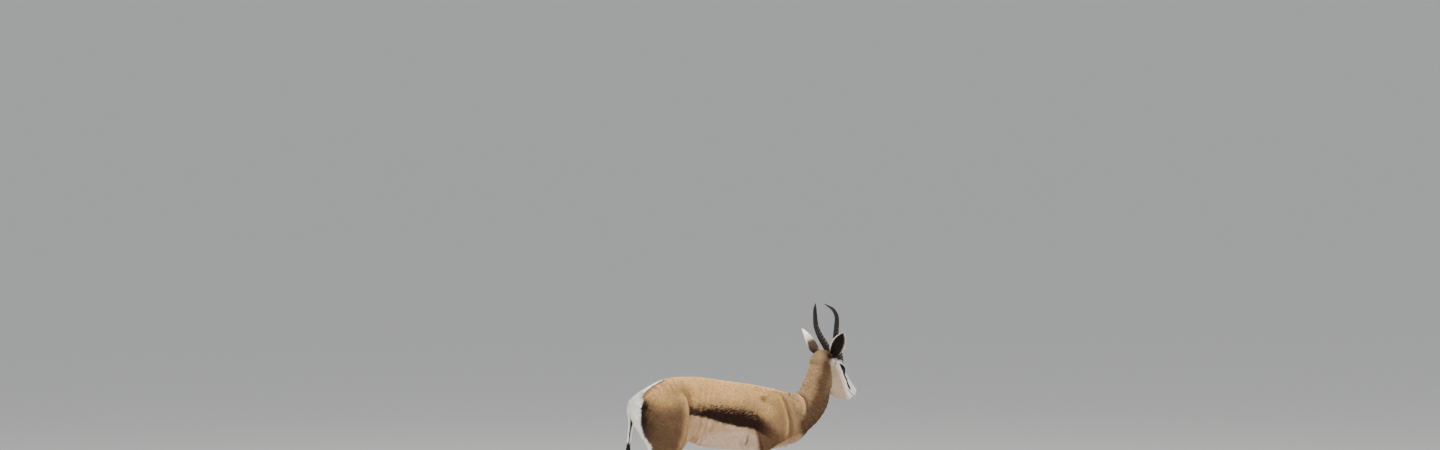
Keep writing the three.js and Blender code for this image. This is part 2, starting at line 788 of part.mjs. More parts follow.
function tailTuft() {
  const draw = seeded(TUFT.seed);
  const last = TAIL.at(-1);
  const core = [
    [last[0], last[1], TUFT.top - GAP, 7.4, 8.4],
    [last[0] - 2, last[1] - 1, TUFT.top - 30, 8, 9],
    [last[0] - 3, last[1] - 2, TUFT.top - 62, 5.5, 6.5],
    [last[0] - 3, last[1] - 2, TUFT.top - 84, 1.5, 1.5],
  ];
  const pieces = [tube(sectionsOf(core, { steps: 3 }), 10)];
  for (let i = 0; i < TUFT.locks; i++) {
    const a = (i / TUFT.locks) * 2 * Math.PI * 2 + draw() * 0.3;
    const out = new THREE.Vector3(Math.cos(a), Math.sin(a), 0);
    const drop = 8 + 46 * (i / TUFT.locks);
    const root = new THREE.Vector3(last[0] - 2, last[1] - 1, TUFT.top - drop).addScaledVector(out, 4.5);
    const direction = new THREE.Vector3(0, 0, -1).addScaledVector(out, 0.02 + draw() * 0.05).normalize();
    pieces.push(lock(root, direction, out, TUFT.length * (0.72 + draw() * 0.25), TUFT.width, TUFT.thick));
  }
  return wasm.Manifold.union(pieces);
}

// Hooves: two claws a foot, a side profile cut to a pointed plan

function claw(coronet, sign, inner, hind) {
  const length = hind ? 56 : 60;
  const width = 18;
  const side = new THREE.Shape();
  side.moveTo(-length * 0.42, 0);
  side.lineTo(length * 0.58, 0);
  side.quadraticCurveTo(length * 0.58, 5, length * 0.52, 9);
  side.lineTo(length * 0.12, CORONET + 4);
  side.lineTo(-length * 0.46, CORONET * 0.5);
  side.quadraticCurveTo(-length * 0.54, 8, -length * 0.42, 0);
  const wall = new THREE.ExtrudeGeometry(side, { depth: width * 2, bevelEnabled: false, curveSegments: 4 });
  wall.rotateX(Math.PI / 2).translate(0, width, 0);
  const plan = new THREE.Shape();
  plan.moveTo(-length * 0.52, 0);
  plan.lineTo(length * 0.6, 0);
  plan.quadraticCurveTo(length * 0.4, width * 0.78, length * 0.05, width);
  plan.quadraticCurveTo(-length * 0.4, width * 1.04, -length * 0.52, width * 0.35);
  const upward = { depth: CORONET * 1.6, bevelEnabled: false, curveSegments: 5 };
  const outline = new THREE.ExtrudeGeometry(plan, upward);
  const outward = inner ? -sign : sign;
  const piece = toSolid(wall).intersect(toSolid(outline.translate(0, 0, -5)));
  const placed = outward === LEFT ? piece : piece.mirror([0, 1, 0]);
  return placed.translate([coronet.x, coronet.y + 1.4 * outward, 0]);
}

function dewclaws(fetlock, sign) {
  return [-1, 1].map((k) => {
    const centre = new THREE.Vector3(fetlock.x - 15, fetlock.y + 8 * k * sign, fetlock.z - 10);
    return lump(centre, [6, 5, 9], 6);
  });
}

// The whole animal, cut into nodes

const nodes = {};

function makeTrunk() {
  const neckNormal = new THREE.Vector3(160, 0, 85).normalize();
  const neckPoint = new THREE.Vector3(346, 0, 655);
  const headNormal = new THREE.Vector3(0.98, 0.2, 0.17).normalize();
  const headPoint = inHead(-6, 0, 0);
  const low = [-427, -147, Math.min(FOREARM_CUT, GASKIN_CUT) - 40];
  const high = [640, 190, 930];
  let body = toSolid(skinOf(flesh, low, high, BODY_CELL));
  const head = toSolid(skinOf(flesh, [395, -90, 640], [700, 240, 965], HEAD_CELL));
  nodes.head = beyond(head, headNormal, headPoint);
  body = before(body, headNormal, headPoint);
  nodes.neck = largest(beyond(body, neckNormal, neckPoint));
  body = before(body, neckNormal, neckPoint);
  for (const [name, sign] of SIDES) {
    const shoulder = legBlock({ x: [92, 330], lowZ: 300, topZ: 705, lowY: 26, topY: 60, sign });
    const hip = legBlock({ x: [-460, -132], lowZ: 300, topZ: 728, lowY: 17, topY: 58, sign });
    const up = new THREE.Vector3(0, 0, 1);
    const elbow = new THREE.Vector3(0, 0, FOREARM_CUT);
    nodes["foreleg_upper_" + name] = beyond(body.intersect(shoulder.solid), up, elbow);
    const knee = new THREE.Vector3(0, 0, GASKIN_CUT);
    nodes["hindleg_upper_" + name] = beyond(body.intersect(hip.solid), up, knee);
    body = body.subtract(shoulder.cutter).subtract(hip.cutter);
  }
  nodes.torso = body;
}

// A block whose inner face leans: from half width lowY at lowZ to topY at topZ
function legBlock({ x, lowZ, topZ, lowY, topY, sign }) {
  const outer = 220;
  const make = (grow) => {
    const slope = (topY - lowY) / (topZ - lowZ);
    const shape = new THREE.Shape();
    shape.moveTo(lowY - grow, lowZ);
    shape.lineTo(outer, lowZ);
    shape.lineTo(outer, topZ + grow);
    shape.lineTo(topY - grow + slope * grow, topZ + grow);
    const length = x[1] - x[0] + 2 * grow;
    const block = new THREE.ExtrudeGeometry(shape, { depth: length, bevelEnabled: false });
    block.applyMatrix4(
      new THREE.Matrix4().makeBasis(
        new THREE.Vector3(0, 1, 0),
        new THREE.Vector3(0, 0, 1),
        new THREE.Vector3(1, 0, 0),
      ),
    );
    const solid = toSolid(block.translate(x[0] - grow, 0, 0));
    return sign === LEFT ? solid : solid.mirror([0, 1, 0]);
  };
  return { solid: make(0), cutter: make(GAP) };
}

function makeLegs() {
  const up = new THREE.Vector3(0, 0, 1);
  for (const [name, sign] of SIDES)
    for (const hind of [false, true]) {
      const kind = hind ? "hindleg" : "foreleg";
      const joint = hind ? HOCK_CUT : KNEE_CUT;
      const stations = hind ? hindleg(sign) : foreleg(sign);
      const leg = tube(sectionsOf(stations, { steps: 2 }), 10);
      const top = new THREE.Vector3(0, 0, hind ? GASKIN_CUT : FOREARM_CUT);
      const middle = new THREE.Vector3(0, 0, joint);
      const foot = stations.at(-1);
      const coronet = new THREE.Vector3(foot[0], foot[1], 0);
      const slope = new THREE.Vector3(-0.44, 0, 0.9).normalize();
      const crown = new THREE.Vector3(foot[0], foot[1], CORONET - 9);
      nodes[kind + "_middle_" + name] = before(beyond(leg, up, middle), up, top);
      const fetlock = stations.at(-4);
      const spurs = dewclaws(new THREE.Vector3(fetlock[0], fetlock[1], fetlock[2]), sign);
      const shank = wasm.Manifold.union([leg, ...spurs]);
      nodes[kind + "_lower_" + name] = beyond(before(shank, up, middle), slope, crown);
      for (const inner of [true, false]) {
        const hoof = claw(coronet, sign, inner, hind);
        nodes["hoof_" + kind + "_" + name + (inner ? "_inner" : "_outer")] = before(hoof, slope, crown);
      }
    }
}

function makeHead() {
  for (const [name, sign] of SIDES) {
    const lidShell = lump(eyeCentre(sign), Array(3).fill(EYE.radius + 2.4), 14);
    nodes.head = nodes.head
      .add(lidShell)
      .subtract(lidOpening(sign))
      .subtract(eyeball(sign, GAP))
      .subtract(hornSocket(sign))
      .subtract(earSocket(sign))
      .subtract(nostril(sign));
    nodes["eye_" + name] = eyeball(sign);
    nodes["horn_" + name] = horn(sign);
    nodes["ear_" + name] = ear(sign);
  }
  nodes.head = nodes.head.subtract(mouthGroove());
}

function makeTail() {
  nodes.tail = tail().trimByPlane([0, 0, 1], TUFT.top);
  nodes.tail_tuft = tailTuft();
  for (const name of ["torso", "hindleg_upper_left", "hindleg_upper_right"]) {
    nodes[name] = nodes[name].subtract(tailSocket());
  }
}

makeTrunk();
makeLegs();
makeHead();
makeTail();

// Colours, roughness and metalness of the coat, horn and eyes

const FINISHES = {
  fawn: { color: 0xb8905f, roughness: 0.9, metalness: 0 },
  white: { color: 0xe9e2d6, roughness: 0.9, metalness: 0 },
  black: { color: 0x1d1815, roughness: 0.85, metalness: 0 },
  horn: { color: 0x211d1a, roughness: 0.45, metalness: 0 },
  eye: { color: 0x120c08, roughness: 0.08, metalness: 0 },
};

function finishOf(name) {
  if (name.startsWith("horn_") || name.startsWith("hoof_")) return "horn";
  if (name.startsWith("eye_")) return "eye";
  if (name === "tail_tuft") return "black";
  if (name === "head" || name === "tail" || name.startsWith("ear_")) return "white";
  return "fawn";
}

const animal = new THREE.Group();
for (const [name, solid] of Object.entries(nodes)) {
  const mesh = new THREE.Mesh(toGeometry(solid), new THREE.MeshStandardMaterial(FINISHES[finishOf(name)]));
  mesh.name = name;
  animal.add(mesh);
}

// The frame's origin is on the floor, under the middle of the animal
const extent = new THREE.Box3().setFromObject(animal);
const middle = extent.getCenter(new THREE.Vector3());
animal.position.set(-middle.x, -middle.y, -extent.min.z);

const springbok = new THREE.Group();
springbok.add(animal);
export default springbok;
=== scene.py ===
"""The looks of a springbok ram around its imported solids: skin, coat, ears, horns, hooves and eyes.

Shapes are worked out in millimetres in the animal's own frame: +X to the head, +Y to its left,
hooves at Z 0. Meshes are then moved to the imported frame, in metres.
"""

import math

import bpy
import numpy as np
from mathutils import Matrix, Vector


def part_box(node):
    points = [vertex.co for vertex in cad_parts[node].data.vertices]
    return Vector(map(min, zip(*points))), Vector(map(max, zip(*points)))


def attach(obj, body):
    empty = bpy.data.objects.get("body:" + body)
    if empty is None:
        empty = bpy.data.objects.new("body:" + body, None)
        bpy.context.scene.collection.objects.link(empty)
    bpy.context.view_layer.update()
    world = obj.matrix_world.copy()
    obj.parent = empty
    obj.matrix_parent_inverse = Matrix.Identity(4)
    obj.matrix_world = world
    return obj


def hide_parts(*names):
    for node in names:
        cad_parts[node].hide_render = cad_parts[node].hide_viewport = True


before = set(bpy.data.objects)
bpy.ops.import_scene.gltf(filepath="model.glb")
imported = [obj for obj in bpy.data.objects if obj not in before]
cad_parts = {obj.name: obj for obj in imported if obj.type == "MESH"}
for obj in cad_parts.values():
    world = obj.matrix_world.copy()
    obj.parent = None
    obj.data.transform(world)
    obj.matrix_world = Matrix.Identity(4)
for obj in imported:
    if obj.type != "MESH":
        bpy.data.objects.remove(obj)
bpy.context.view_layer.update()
RNG = np.random.default_rng(11)

# Sizes shared with the solids
WITHERS = 752
CROUP = 800
BARREL_FLOOR = 497
BARREL_HALF_WIDTH = 106
FORE_X = 158
HIND_X = -338
STANCE_FORE = 62
STANCE_HIND = 66
FORE_STAGGER = 26
HIND_STAGGER = 36
HEAD_ORIGIN = np.array([460.0, 50.0, 872.0])
HEAD_YAW = math.radians(26)
HEAD_PITCH = math.radians(38)
EYE = np.array([104.0, 33.0, 23.0])
EYE_RADIUS = 14.0
HORN_ROOT = np.array([76.0, 22.0, 52.0])
EAR_ROOT = {1: (7, 42, 29), -1: (27, 36, 30)}
HOOF_TOP = 34
SIDES = (1, -1)

# Grid step of the skin in mm, and how many of them a step of the rough first grid takes
SKIN_STEP = 6.0
COARSE = 4

# Corners of the box that the skin is looked for in
SKIN_LOW = (-430, -150, 20)
SKIN_HIGH = (690, 240, 970)


def bell(x, width):
    return np.exp(-((x / width) ** 2))


def unit(v):
    v = np.asarray(v, float)
    return v / np.maximum(np.linalg.norm(v, axis=-1, keepdims=True), 1e-9)


def smooth(x, low, high):
    t = np.clip((x - low) / (high - low), 0, 1)
    return t * t * (3 - 2 * t)


def between(x, low, full, fade, high):
    """Rises from low to full and falls from fade to high."""
    return smooth(x, low, full) * (1 - smooth(x, fade, high))


def turn_about(axis, angle):
    return np.array(Matrix.Rotation(angle, 3, axis))


YAW_TURN = turn_about("Z", HEAD_YAW)
HEAD_TURN = YAW_TURN @ turn_about("Y", HEAD_PITCH)


def in_head(*p):
    return HEAD_TURN @ np.array(p, float) + HEAD_ORIGIN


def head_space(p):
    return (p - HEAD_ORIGIN) @ HEAD_TURN


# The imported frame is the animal's frame moved so that the floor's middle is its origin
eye_low, eye_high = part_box("eye_right")
SHIFT = np.array((eye_low + eye_high) / 2) * 1000 - in_head(EYE[0], -EYE[1], EYE[2])


def to_metres(p):
    return (np.asarray(p, float) + SHIFT) / 1000


# Curves and limbs


def catmull(points, t):
    """Points on a centripetal Catmull-Rom curve through the given ones, for t from 0 to 1."""
    points = np.asarray(points, float)
    run = np.vstack([2 * points[0] - points[1], points, 2 * points[-1] - points[-2]])
    x = np.clip(t, 0, 1) * (len(points) - 1)
    i = np.minimum(x.astype(int), len(points) - 2)
    w = (x - i)[:, None]
    p0, p1, p2, p3 = run[i], run[i + 1], run[i + 2], run[i + 3]
    d0, d1, d2 = (np.sum((b - a) ** 2, axis=1)[:, None] ** 0.25 for a, b in ((p0, p1), (p1, p2), (p2, p3)))
    d1 = np.where(d1 < 1e-4, 1, d1)
    d0 = np.where(d0 < 1e-4, d1, d0)
    d2 = np.where(d2 < 1e-4, d1, d2)
    m1 = ((p1 - p0) / d0 - (p2 - p0) / (d0 + d1) + (p2 - p1) / d1) * d1
    m2 = ((p2 - p1) / d1 - (p3 - p1) / (d1 + d2) + (p3 - p2) / d2) * d1
    return p1 + m1 * w + (3 * (p2 - p1) - 2 * m1 - m2) * w**2 + (2 * (p1 - p2) + m1 + m2) * w**3


def sections(stations, across=(0, 1, 0), steps=4):
    """Oval sections along a limb: centre, tangent, side, up, half width and half depth, one row each."""
    stations = np.asarray(stations, float)
    t = np.linspace(0, 1, (len(stations) - 1) * steps + 1)
    spine = stations[:, :3]
    sizes = catmull(np.c_[stations[:, 3:5], np.zeros(len(stations))], t)
    tangent = unit(catmull(spine, np.minimum(1, t + 0.01)) - catmull(spine, np.maximum(0, t - 0.01)))
    across = np.asarray(across, float)
    side = unit(across - tangent * (tangent @ across)[:, None])
    return np.hstack([catmull(spine, t), tangent, side, np.cross(tangent, side), sizes[:, :2]])


def mirrored(stations, sign):
    return [(x, y * sign, z, w, d) for x, y, z, w, d in stations]


def limb(stations, blend, group, across=(0, 1, 0)):
    rows = sections(stations, across)
    centre = rows[len(rows) // 2, :3]
    reach = np.max(np.linalg.norm(rows[:, :3] - centre, axis=1) + rows[:, 12:].max(1))
    return {"rows": rows, "centre": centre, "reach": reach, "blend": blend, "group": group}


def lump(centre, radii, blend, group, turn=np.eye(3)):
    return {
        "radii": np.array(radii, float),
        "centre": np.asarray(centre, float),
        "reach": max(radii),
        "blend": blend,
        "group": group,
        "turn": turn,
    }


def oval_distance(q, radii):
    k0 = np.linalg.norm(q / radii, axis=1)
    k1 = np.linalg.norm(q / radii**2, axis=1)
    return np.where(k1 < 1e-9, -np.min(radii, axis=-1), k0 * (k0 - 1) / np.maximum(k1, 1e-9))


def far_from(part, p):
    """How far points are outside the ball that holds a limb or lump."""
    return np.linalg.norm(p - part["centre"], axis=1) - part["reach"]


def nearest_row(rows, p):
    return np.argmin(np.sum(rows[:, :3] ** 2, axis=1) - 2 * p @ rows[:, :3].T, axis=1)


def distance_to(part, p):
    """How far points are from one limb or lump, negative inside."""
    if "radii" in part:
        return oval_distance((p - part["centre"]) @ part["turn"], part["radii"])
    rows = part["rows"]
    nearest = nearest_row(rows, p)
    best = np.full(len(p), np.inf)
    for offset in (-2, -1, 0, 1):
        i = np.clip(nearest + offset, 0, len(rows) - 2)
        a, b = rows[i], rows[i + 1]
        step = b[:, :3] - a[:, :3]
        t = np.clip(np.sum((p - a[:, :3]) * step, axis=1) / np.sum(step**2, axis=1), 0, 1)[:, None]
        m = a + (b - a) * t
        q = p - m[:, :3]
        e = np.minimum(m[:, 12], m[:, 13])
        along = np.where((t[:, 0] > 0) & (t[:, 0] < 1), 0, np.sum(q * m[:, 3:6], axis=1))
        local = np.stack([np.sum(q * m[:, 6:9], axis=1), np.sum(q * m[:, 9:12], axis=1), along], axis=1)
        best = np.minimum(best, oval_distance(local, np.stack([m[:, 12], m[:, 13], e], axis=1)))
    return best


def flesh(p):
    """Signed distance to the smooth union of all limbs and lumps."""
    total = np.full(len(p), 1e6)
    for part in PARTS:
        far = far_from(part, p)
        near = far <= total + part["blend"]
        total = np.where(near, total, np.minimum(total, far))
        if not near.any():
            continue
        before = total[near]
        d = distance_to(part, p[near])
        h = np.maximum(part["blend"] - np.abs(before - d), 0) / part["blend"]
        total[near] = np.minimum(before, d) - h * h * part["blend"] / 4
    return total


# The stations of the body: x, y, z, half width, half depth


def trunk_parts():
    barrel = [
        (-332, 0, 660, 52, 58),
        (-290, 0, 664, 74, 84),
        (-215, 0, 674, 88, 110),
        (-110, 0, 662, 92, 128),
        (-15, 0, 643, 102, 136),
        (75, 0, 633, BARREL_HALF_WIDTH, 136),
        (160, 0, 627, 98, 130),
        (240, 0, 626, 82, 116),
        (310, 0, 628, 60, 90),
    ]
    back = [
        (-345, 0, 699, 30, 28),
        (-300, 0, 722, 40, 34),
        (-215, 0, CROUP - 46, 46, 42),
        (-100, 0, CROUP - 40, 44, 40),
        (-10, 0, 746, 44, 40),
        (75, 0, 734, 42, 38),
        (165, 0, 719, 38, 36),
        (225, 0, WITHERS - 54, 34, 35),
        (300, 0, 662, 32, 34),
    ]
    belly = [
        (-130, 0, 578, 52, 36),
        (-60, 0, 556, 62, 40),
        (30, 0, 542, 68, 42),
        (120, 0, BARREL_FLOOR + 42, 66, 42),
        (220, 0, BARREL_FLOOR + 38, 48, 40),
        (310, 0, 562, 40, 42),
    ]
    neck = [
        (235, 0, 634, 62, 84),
        (352, 3, 633, 60, 76),
        (412, 12, 689, 53, 72),
        (438, 24, 748, 48, 64),
        (456, 36, 800, 45, 58),
        (468, 46, 846, 42, 52),
    ]
    return [
        limb(barrel, 30, "trunk"),
        limb(back, 40, "trunk"),
        limb(belly, 40, "trunk"),
        limb(neck, 55, "neck"),
        lump((318, 0, 582), (42, 44, 40), 50, "trunk"),
    ]


def foreleg(sign):
    x = FORE_X + (FORE_STAGGER if sign > 0 else 0)
    y = STANCE_FORE
    stations = [
        (x - 4, y + 10, 530, 28, 50),
        (x - 2, y + 8, 490, 27, 42),
        (x, y + 5, 440, 23, 31),
        (x + 3, y + 3, 385, 18.5, 23),
        (x + 5, y + 1, 325, 15.5, 18),
        (x + 8, y, 285, 17, 19.5),
        (x + 8, y, 258, 17.5, 19.5),
        (x + 5, y, 232, 13.5, 15.5),
        (x + 4, y, 170, 10.5, 14),
        (x + 4, y, 118, 11, 14.5),
        (x + 3, y, 92, 14.5, 18),
        (x + 10, y, 72, 13, 14.5),
        (x + 22, y, 48, 16, 15.5),
        (x + 29, y, 30, 17.5, 18),
    ]
    return mirrored(stations, sign)


def hindleg(sign):
    x = HIND_X + (HIND_STAGGER if sign > 0 else 0)
    y = STANCE_HIND
    stations = [
        (x + 130, y + 12, 590, 32, 66),
        (x + 104, y + 10, 540, 31, 62),
        (x + 66, y + 6, 480, 25, 46),
        (x + 34, y + 3, 420, 18.5, 31),
        (x + 10, y + 1, 365, 15.5, 25),
        (x - 6, y, 325, 16, 25),
        (x - 6, y, 292, 16, 22),
        (x - 2, y, 255, 13, 17),
        (x + 1, y, 190, 11, 15),
        (x + 3, y, 124, 11.5, 15),
        (x + 3, y, 94, 15, 18),
        (x + 10, y, 72, 13, 15),
        (x + 21, y, 48, 16, 15.5),
        (x + 28, y, 30, 17.5, 18),
    ]
    return mirrored(stations, sign)


def leg_parts(sign):
    fx = FORE_STAGGER if sign > 0 else 0
    hx = HIND_STAGGER if sign > 0 else 0
    side = "left" if sign > 0 else "right"
    scapula = [
        (218, 46, 712, 24, 38),
        (240, 68, 665, 27, 44),
        (268 + fx / 2, 76, 615, 27, 42),
        (282 + fx / 2, 74, 582, 26, 34),
    ]
    triceps = [
        (212, 70, 650, 22, 46),
        (190 + fx / 2, 80, 590, 25, 54),
        (160 + fx, 76, 540, 25, 44),
        (132 + fx, 66, 508, 17, 20),
    ]
    upper_arm = [
        (280 + fx / 2, 72, 585, 26, 34),
        (230 + fx, 74, 548, 26, 36),
        (175 + fx, 72, 515, 26, 38),
    ]
    rump = [
        (-165, 52, 742, 40, 40),
        (-240, 58, 712, 42, 58),
        (-300, 52, 672, 36, 56),
        (-335, 44, 640, 30, 40),
    ]
    thigh = [
        (-232, 62, 690, 38, 70),
        (-236 + hx / 2, 76, 630, 40, 92),
        (-240 + hx, 77, 570, 36, 88),
        (-256 + hx, 73, 505, 28, 56),
    ]
    hamstring = [
        (-345, 40, 668, 26, 26),
        (-348 + hx / 3, 48, 622, 28, 26),
        (-322 + hx * 0.7, 58, 565, 26, 24),
        (-284 + hx, 64, 508, 22, 24),
    ]
    stifle = [
        (-150, 64, 690, 22, 26),
        (-152 + hx / 2, 76, 630, 26, 30),
        (-166 + hx, 80, 580, 26, 32),
        (-196 + hx, 77, 535, 24, 34),
    ]
    fore = [(scapula, 34), (triceps, 30), (upper_arm, 30)]
    hind = [(rump, 40), (thigh, 40), (hamstring, 34), (stifle, 34)]
    parts = [limb(mirrored(s, sign), blend, "fore_" + side) for s, blend in fore]
    parts += [limb(mirrored(s, sign), blend, "hind_" + side) for s, blend in hind]
    parts.append(limb(foreleg(sign), 24, "fore_" + side))
    parts.append(limb(hindleg(sign), 24, "hind_" + side))
    return parts


def head_parts():
    skull = [
        (-2, 0, 4, 30, 34),
        (30, 0, -3, 41, 47),
        (68, 0, -11, 41, 58),
        (105, 0, -13, 37, 54),
        (140, 0, -11, 29, 44),
        (175, 0, -10, 24, 34),
        (210, 0, -10, 21, 26),
        (236, 0, -9, 17, 17),
    ]
    bridge = [
        (84, 0, 34, 22, 14),
        (130, 0, 26, 17, 12),
        (178, 0, 14, 14, 10),
        (226, 0, 3, 13, 9),
    ]
    jaw = [
        (50, 0, -62, 27, 30),
        (100, 0, -62, 24, 27),
        (145, 0, -57, 20, 26),
        (185, 0, -46, 16, 26),
        (222, 0, -32, 12, 13),
    ]
    across = HEAD_TURN @ np.array([0.0, 1.0, 0.0])

    def spine(stations, blend):
        return limb([(*in_head(x, y, z), w, d) for x, y, z, w, d in stations], blend, "head", across)

    def placed(x, y, z, radii, blend):
        return lump(in_head(x, y, z), radii, blend, "head", HEAD_TURN)

    parts = [
        spine(skull, 26),
        spine(bridge, 16),
        placed(18, 0, 30, (32, 32, 20), 22),
        spine(jaw, 20),
        placed(225, 0, -36, (19, 12, 12), 9),
    ]
    for s in SIDES:
        ear_x, ear_y, _ = EAR_ROOT[s]
        parts += [
            placed(76, 25 * s, -44, (38, 15, 34), 22),
            placed(EYE[0] - 2, 27 * s, EYE[2], (27, 19, 23), 16),
            placed(132, 25 * s, 0, (30, 8, 12), 14),
            placed(HORN_ROOT[0], 19 * s, 40, (19, 17, 15), 14),
            placed(ear_x, (ear_y - 4) * s, 24, (18, 14, 18), 14),
            placed(226, 11 * s, -7, (17, 10, 13), 10),
            placed(216, 9 * s, -20, (24, 11, 9), 8),
        ]
    return parts


PARTS = trunk_parts() + leg_parts(1) + leg_parts(-1) + head_parts()
GROUPS = ["trunk", "neck", "head", "fore_left", "fore_right", "hind_left", "hind_right"]


# Meshes


def finer(field, factor):
    """A grid of values with factor times as many steps each way, filled in between."""
    for axis in range(3):
        n = field.shape[axis]
        x = np.arange((n - 1) * factor + 1) / factor
        low = np.minimum(x.astype(int), n - 2)
        t = (x - low).reshape([-1 if k == axis else 1 for k in range(3)])
        field = field.take(low, axis) * (1 - t) + field.take(low + 1, axis) * t
    return field


def neighbour(cell, first, i, second, j):
    home = cell.copy()
    home[:, first] -= i
    home[:, second] -= j
    return tuple(home.T)


def skin_mesh(low, high, step):
    """Corners and four-sided faces of the flesh's surface, one corner to each grid cell that it crosses."""
    low = np.asarray(low, float)
    counts = [int(math.ceil((h - l) / (step * COARSE))) + 1 for l, h in zip(low, high)]
    coarse = np.stack(np.meshgrid(*[np.arange(n) for n in counts], indexing="ij"), -1).reshape(-1, 3)
    rough = flesh(low + coarse * step * COARSE).reshape(counts)
    field = finer(rough, COARSE)
    near = np.abs(field) < step * COARSE * 0.8
    field[near] = flesh(low + np.argwhere(near) * step)
    inside = field < 0
    sums = np.zeros([n - 1 for n in field.shape] + [3])
    hits = np.zeros([n - 1 for n in field.shape])
    crossings = []
    for axis in range(3):
        a = np.moveaxis(field, axis, 0)
        cross = np.moveaxis(inside, axis, 0)
        where = np.argwhere(cross[:-1] != cross[1:])
        va = a[tuple(where.T)]
        vb = a[where[:, 0] + 1, where[:, 1], where[:, 2]]
        order = [axis] + [k for k in range(3) if k != axis]
        cell = np.empty_like(where)
        cell[:, order] = where
        point = cell.astype(float)
        point[:, axis] += va / (va - vb)
        crossings.append((axis, cell, va < 0))
        first, second = [k for k in range(3) if k != axis]
        for i in (0, 1):
            for j in (0, 1):
                home = neighbour(cell, first, i, second, j)
                np.add.at(sums, home, point)
                np.add.at(hits, home, 1)
    used = hits > 0
    number = np.full(hits.shape, -1)
    number[used] = np.arange(used.sum())
    corners = low + step * sums[used] / hits[used][:, None]
    faces = []
    for axis, cell, starts_inside in crossings:
        first, second = (axis + 1) % 3, (axis + 2) % 3
        turns = ((1, 1), (0, 1), (0, 0), (1, 0))
        quad = np.stack([number[neighbour(cell, first, i, second, j)] for i, j in turns], 1)
        quad[~starts_inside] = quad[~starts_inside][:, ::-1]
        faces.append(quad)
    return corners, np.vstack(faces)


def slope(p, step=0.6):
    here = flesh(p)
    moved = [flesh(p + step * np.eye(3)[k]) for k in range(3)]
    return here, np.stack([(m - here) / step for m in moved], 1)


def drawn_to_flesh(p, rounds=2, reach=4.0):
    for _ in range(rounds):
        d, g = slope(p)
        move = -g * (d / np.maximum(np.sum(g * g, 1), 0.05))[:, None]
        size = np.maximum(np.linalg.norm(move, axis=1, keepdims=True), 1e-9)
        p = p + move * np.minimum(1, reach / size)
    return p


def split_quads(p, quads, chosen):
    """Cuts the chosen four-sided faces in four. Their neighbours get the new corners on shared edges."""
    edges = np.sort(np.stack([quads, np.roll(quads, -1, 1)], 2), axis=2)
    keys = edges[:, :, 0].astype(np.int64) * (len(p) + 1) + edges[:, :, 1]
    cut, first = np.unique(keys[chosen], return_index=True)
    ends = edges[chosen].reshape(-1, 2)[first]
    middle = {int(k): len(p) + i for i, k in enumerate(cut)}
    corners = [p, (p[ends[:, 0]] + p[ends[:, 1]]) / 2]
    centre = len(p) + len(cut)
    corners.append(p[quads[chosen]].mean(1))
    fine, others = [], []
    for quad, key, whole in zip(quads.tolist(), keys.tolist(), (~chosen).tolist()):
        mids = [middle.get(k) for k in key]
        if whole:
            ring = [v for q, m in zip(quad, mids) for v in ((q,) if m is None else (q, m))]
            others.append(ring)
            continue
        for k in range(4):
            fine.append([quad[k], mids[k], centre, mids[k - 1]])
        centre += 1
    return np.vstack(corners), fine, others


def new_object(name, verts, faces, colours=None, uvs=None):
    """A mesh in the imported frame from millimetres. faces is an array of equal rows, or a list of lists."""
    mesh = bpy.data.meshes.new(name)
    verts = to_metres(verts)
    if isinstance(faces, np.ndarray):
        mesh.vertices.add(len(verts))
        mesh.vertices.foreach_set("co", verts.astype(np.float32).ravel())
        mesh.loops.add(faces.size)
        mesh.loops.foreach_set("vertex_index", faces.astype(np.int32).ravel())
        mesh.polygons.add(len(faces))
        starts = np.arange(len(faces), dtype=np.int32) * faces.shape[1]
        mesh.polygons.foreach_set("loop_start", starts)
        mesh.update(calc_edges=True)
    else:
        mesh.from_pydata(verts.tolist(), [], faces)
    mesh.polygons.foreach_set("use_smooth", np.ones(len(mesh.polygons), bool))
    if colours is not None:
        layer = mesh.color_attributes.new("hair_colour", "FLOAT_COLOR", "POINT")
        rgba = np.c_[np.clip(colours, 0, 1), np.ones(len(verts))]
        layer.data.foreach_set("color", rgba.astype(np.float32).ravel())
    if uvs is not None:
        mesh.uv_layers.new(name="OFBake").data.foreach_set("uv", uvs.astype(np.float32).ravel())
    obj = bpy.data.objects.new(name, mesh)
    bpy.context.scene.collection.objects.link(obj)
    mesh.update()
    return obj


# The lie of the ears

EAR_LENGTH = 140
EAR_LEAN = {1: (-0.12, 0.64, 0.76), -1: (-0.04, 0.6, 0.79)}
EAR_STATIONS = [
    (-0.13, 7, 160, 7),
    (-0.02, 11, 158, 11),
    (0.1, 16, 146, 16),
    (0.22, 23, 122, 19),
    (0.36, 28, 102, 20),
    (0.5, 31, 86, 20),
    (0.64, 30, 74, 18),
    (0.78, 24, 64, 14),
    (0.89, 15.5, 56, 9),
    (0.96, 8, 50, 5),
    (1, 3, 46, 3),
]


def ear_frame(sign):
    forward, outward, upward = EAR_LEAN[sign]
    axis = unit(YAW_TURN @ np.array([forward, outward * sign, upward], float))
    opening = YAW_TURN @ np.array([-0.55, 0.72 * sign, -0.2])
    opening = unit(opening - axis * (opening @ axis))
    return axis, opening, np.cross(axis, opening), in_head(*(np.array(EAR_ROOT[sign]) * (1, sign, 1)))


# Markings


def linear(r, g, b):
    c = np.array([r, g, b]) / 255
    return np.where(c < 0.04045, c / 12.92, ((c + 0.055) / 1.055) ** 2.4)


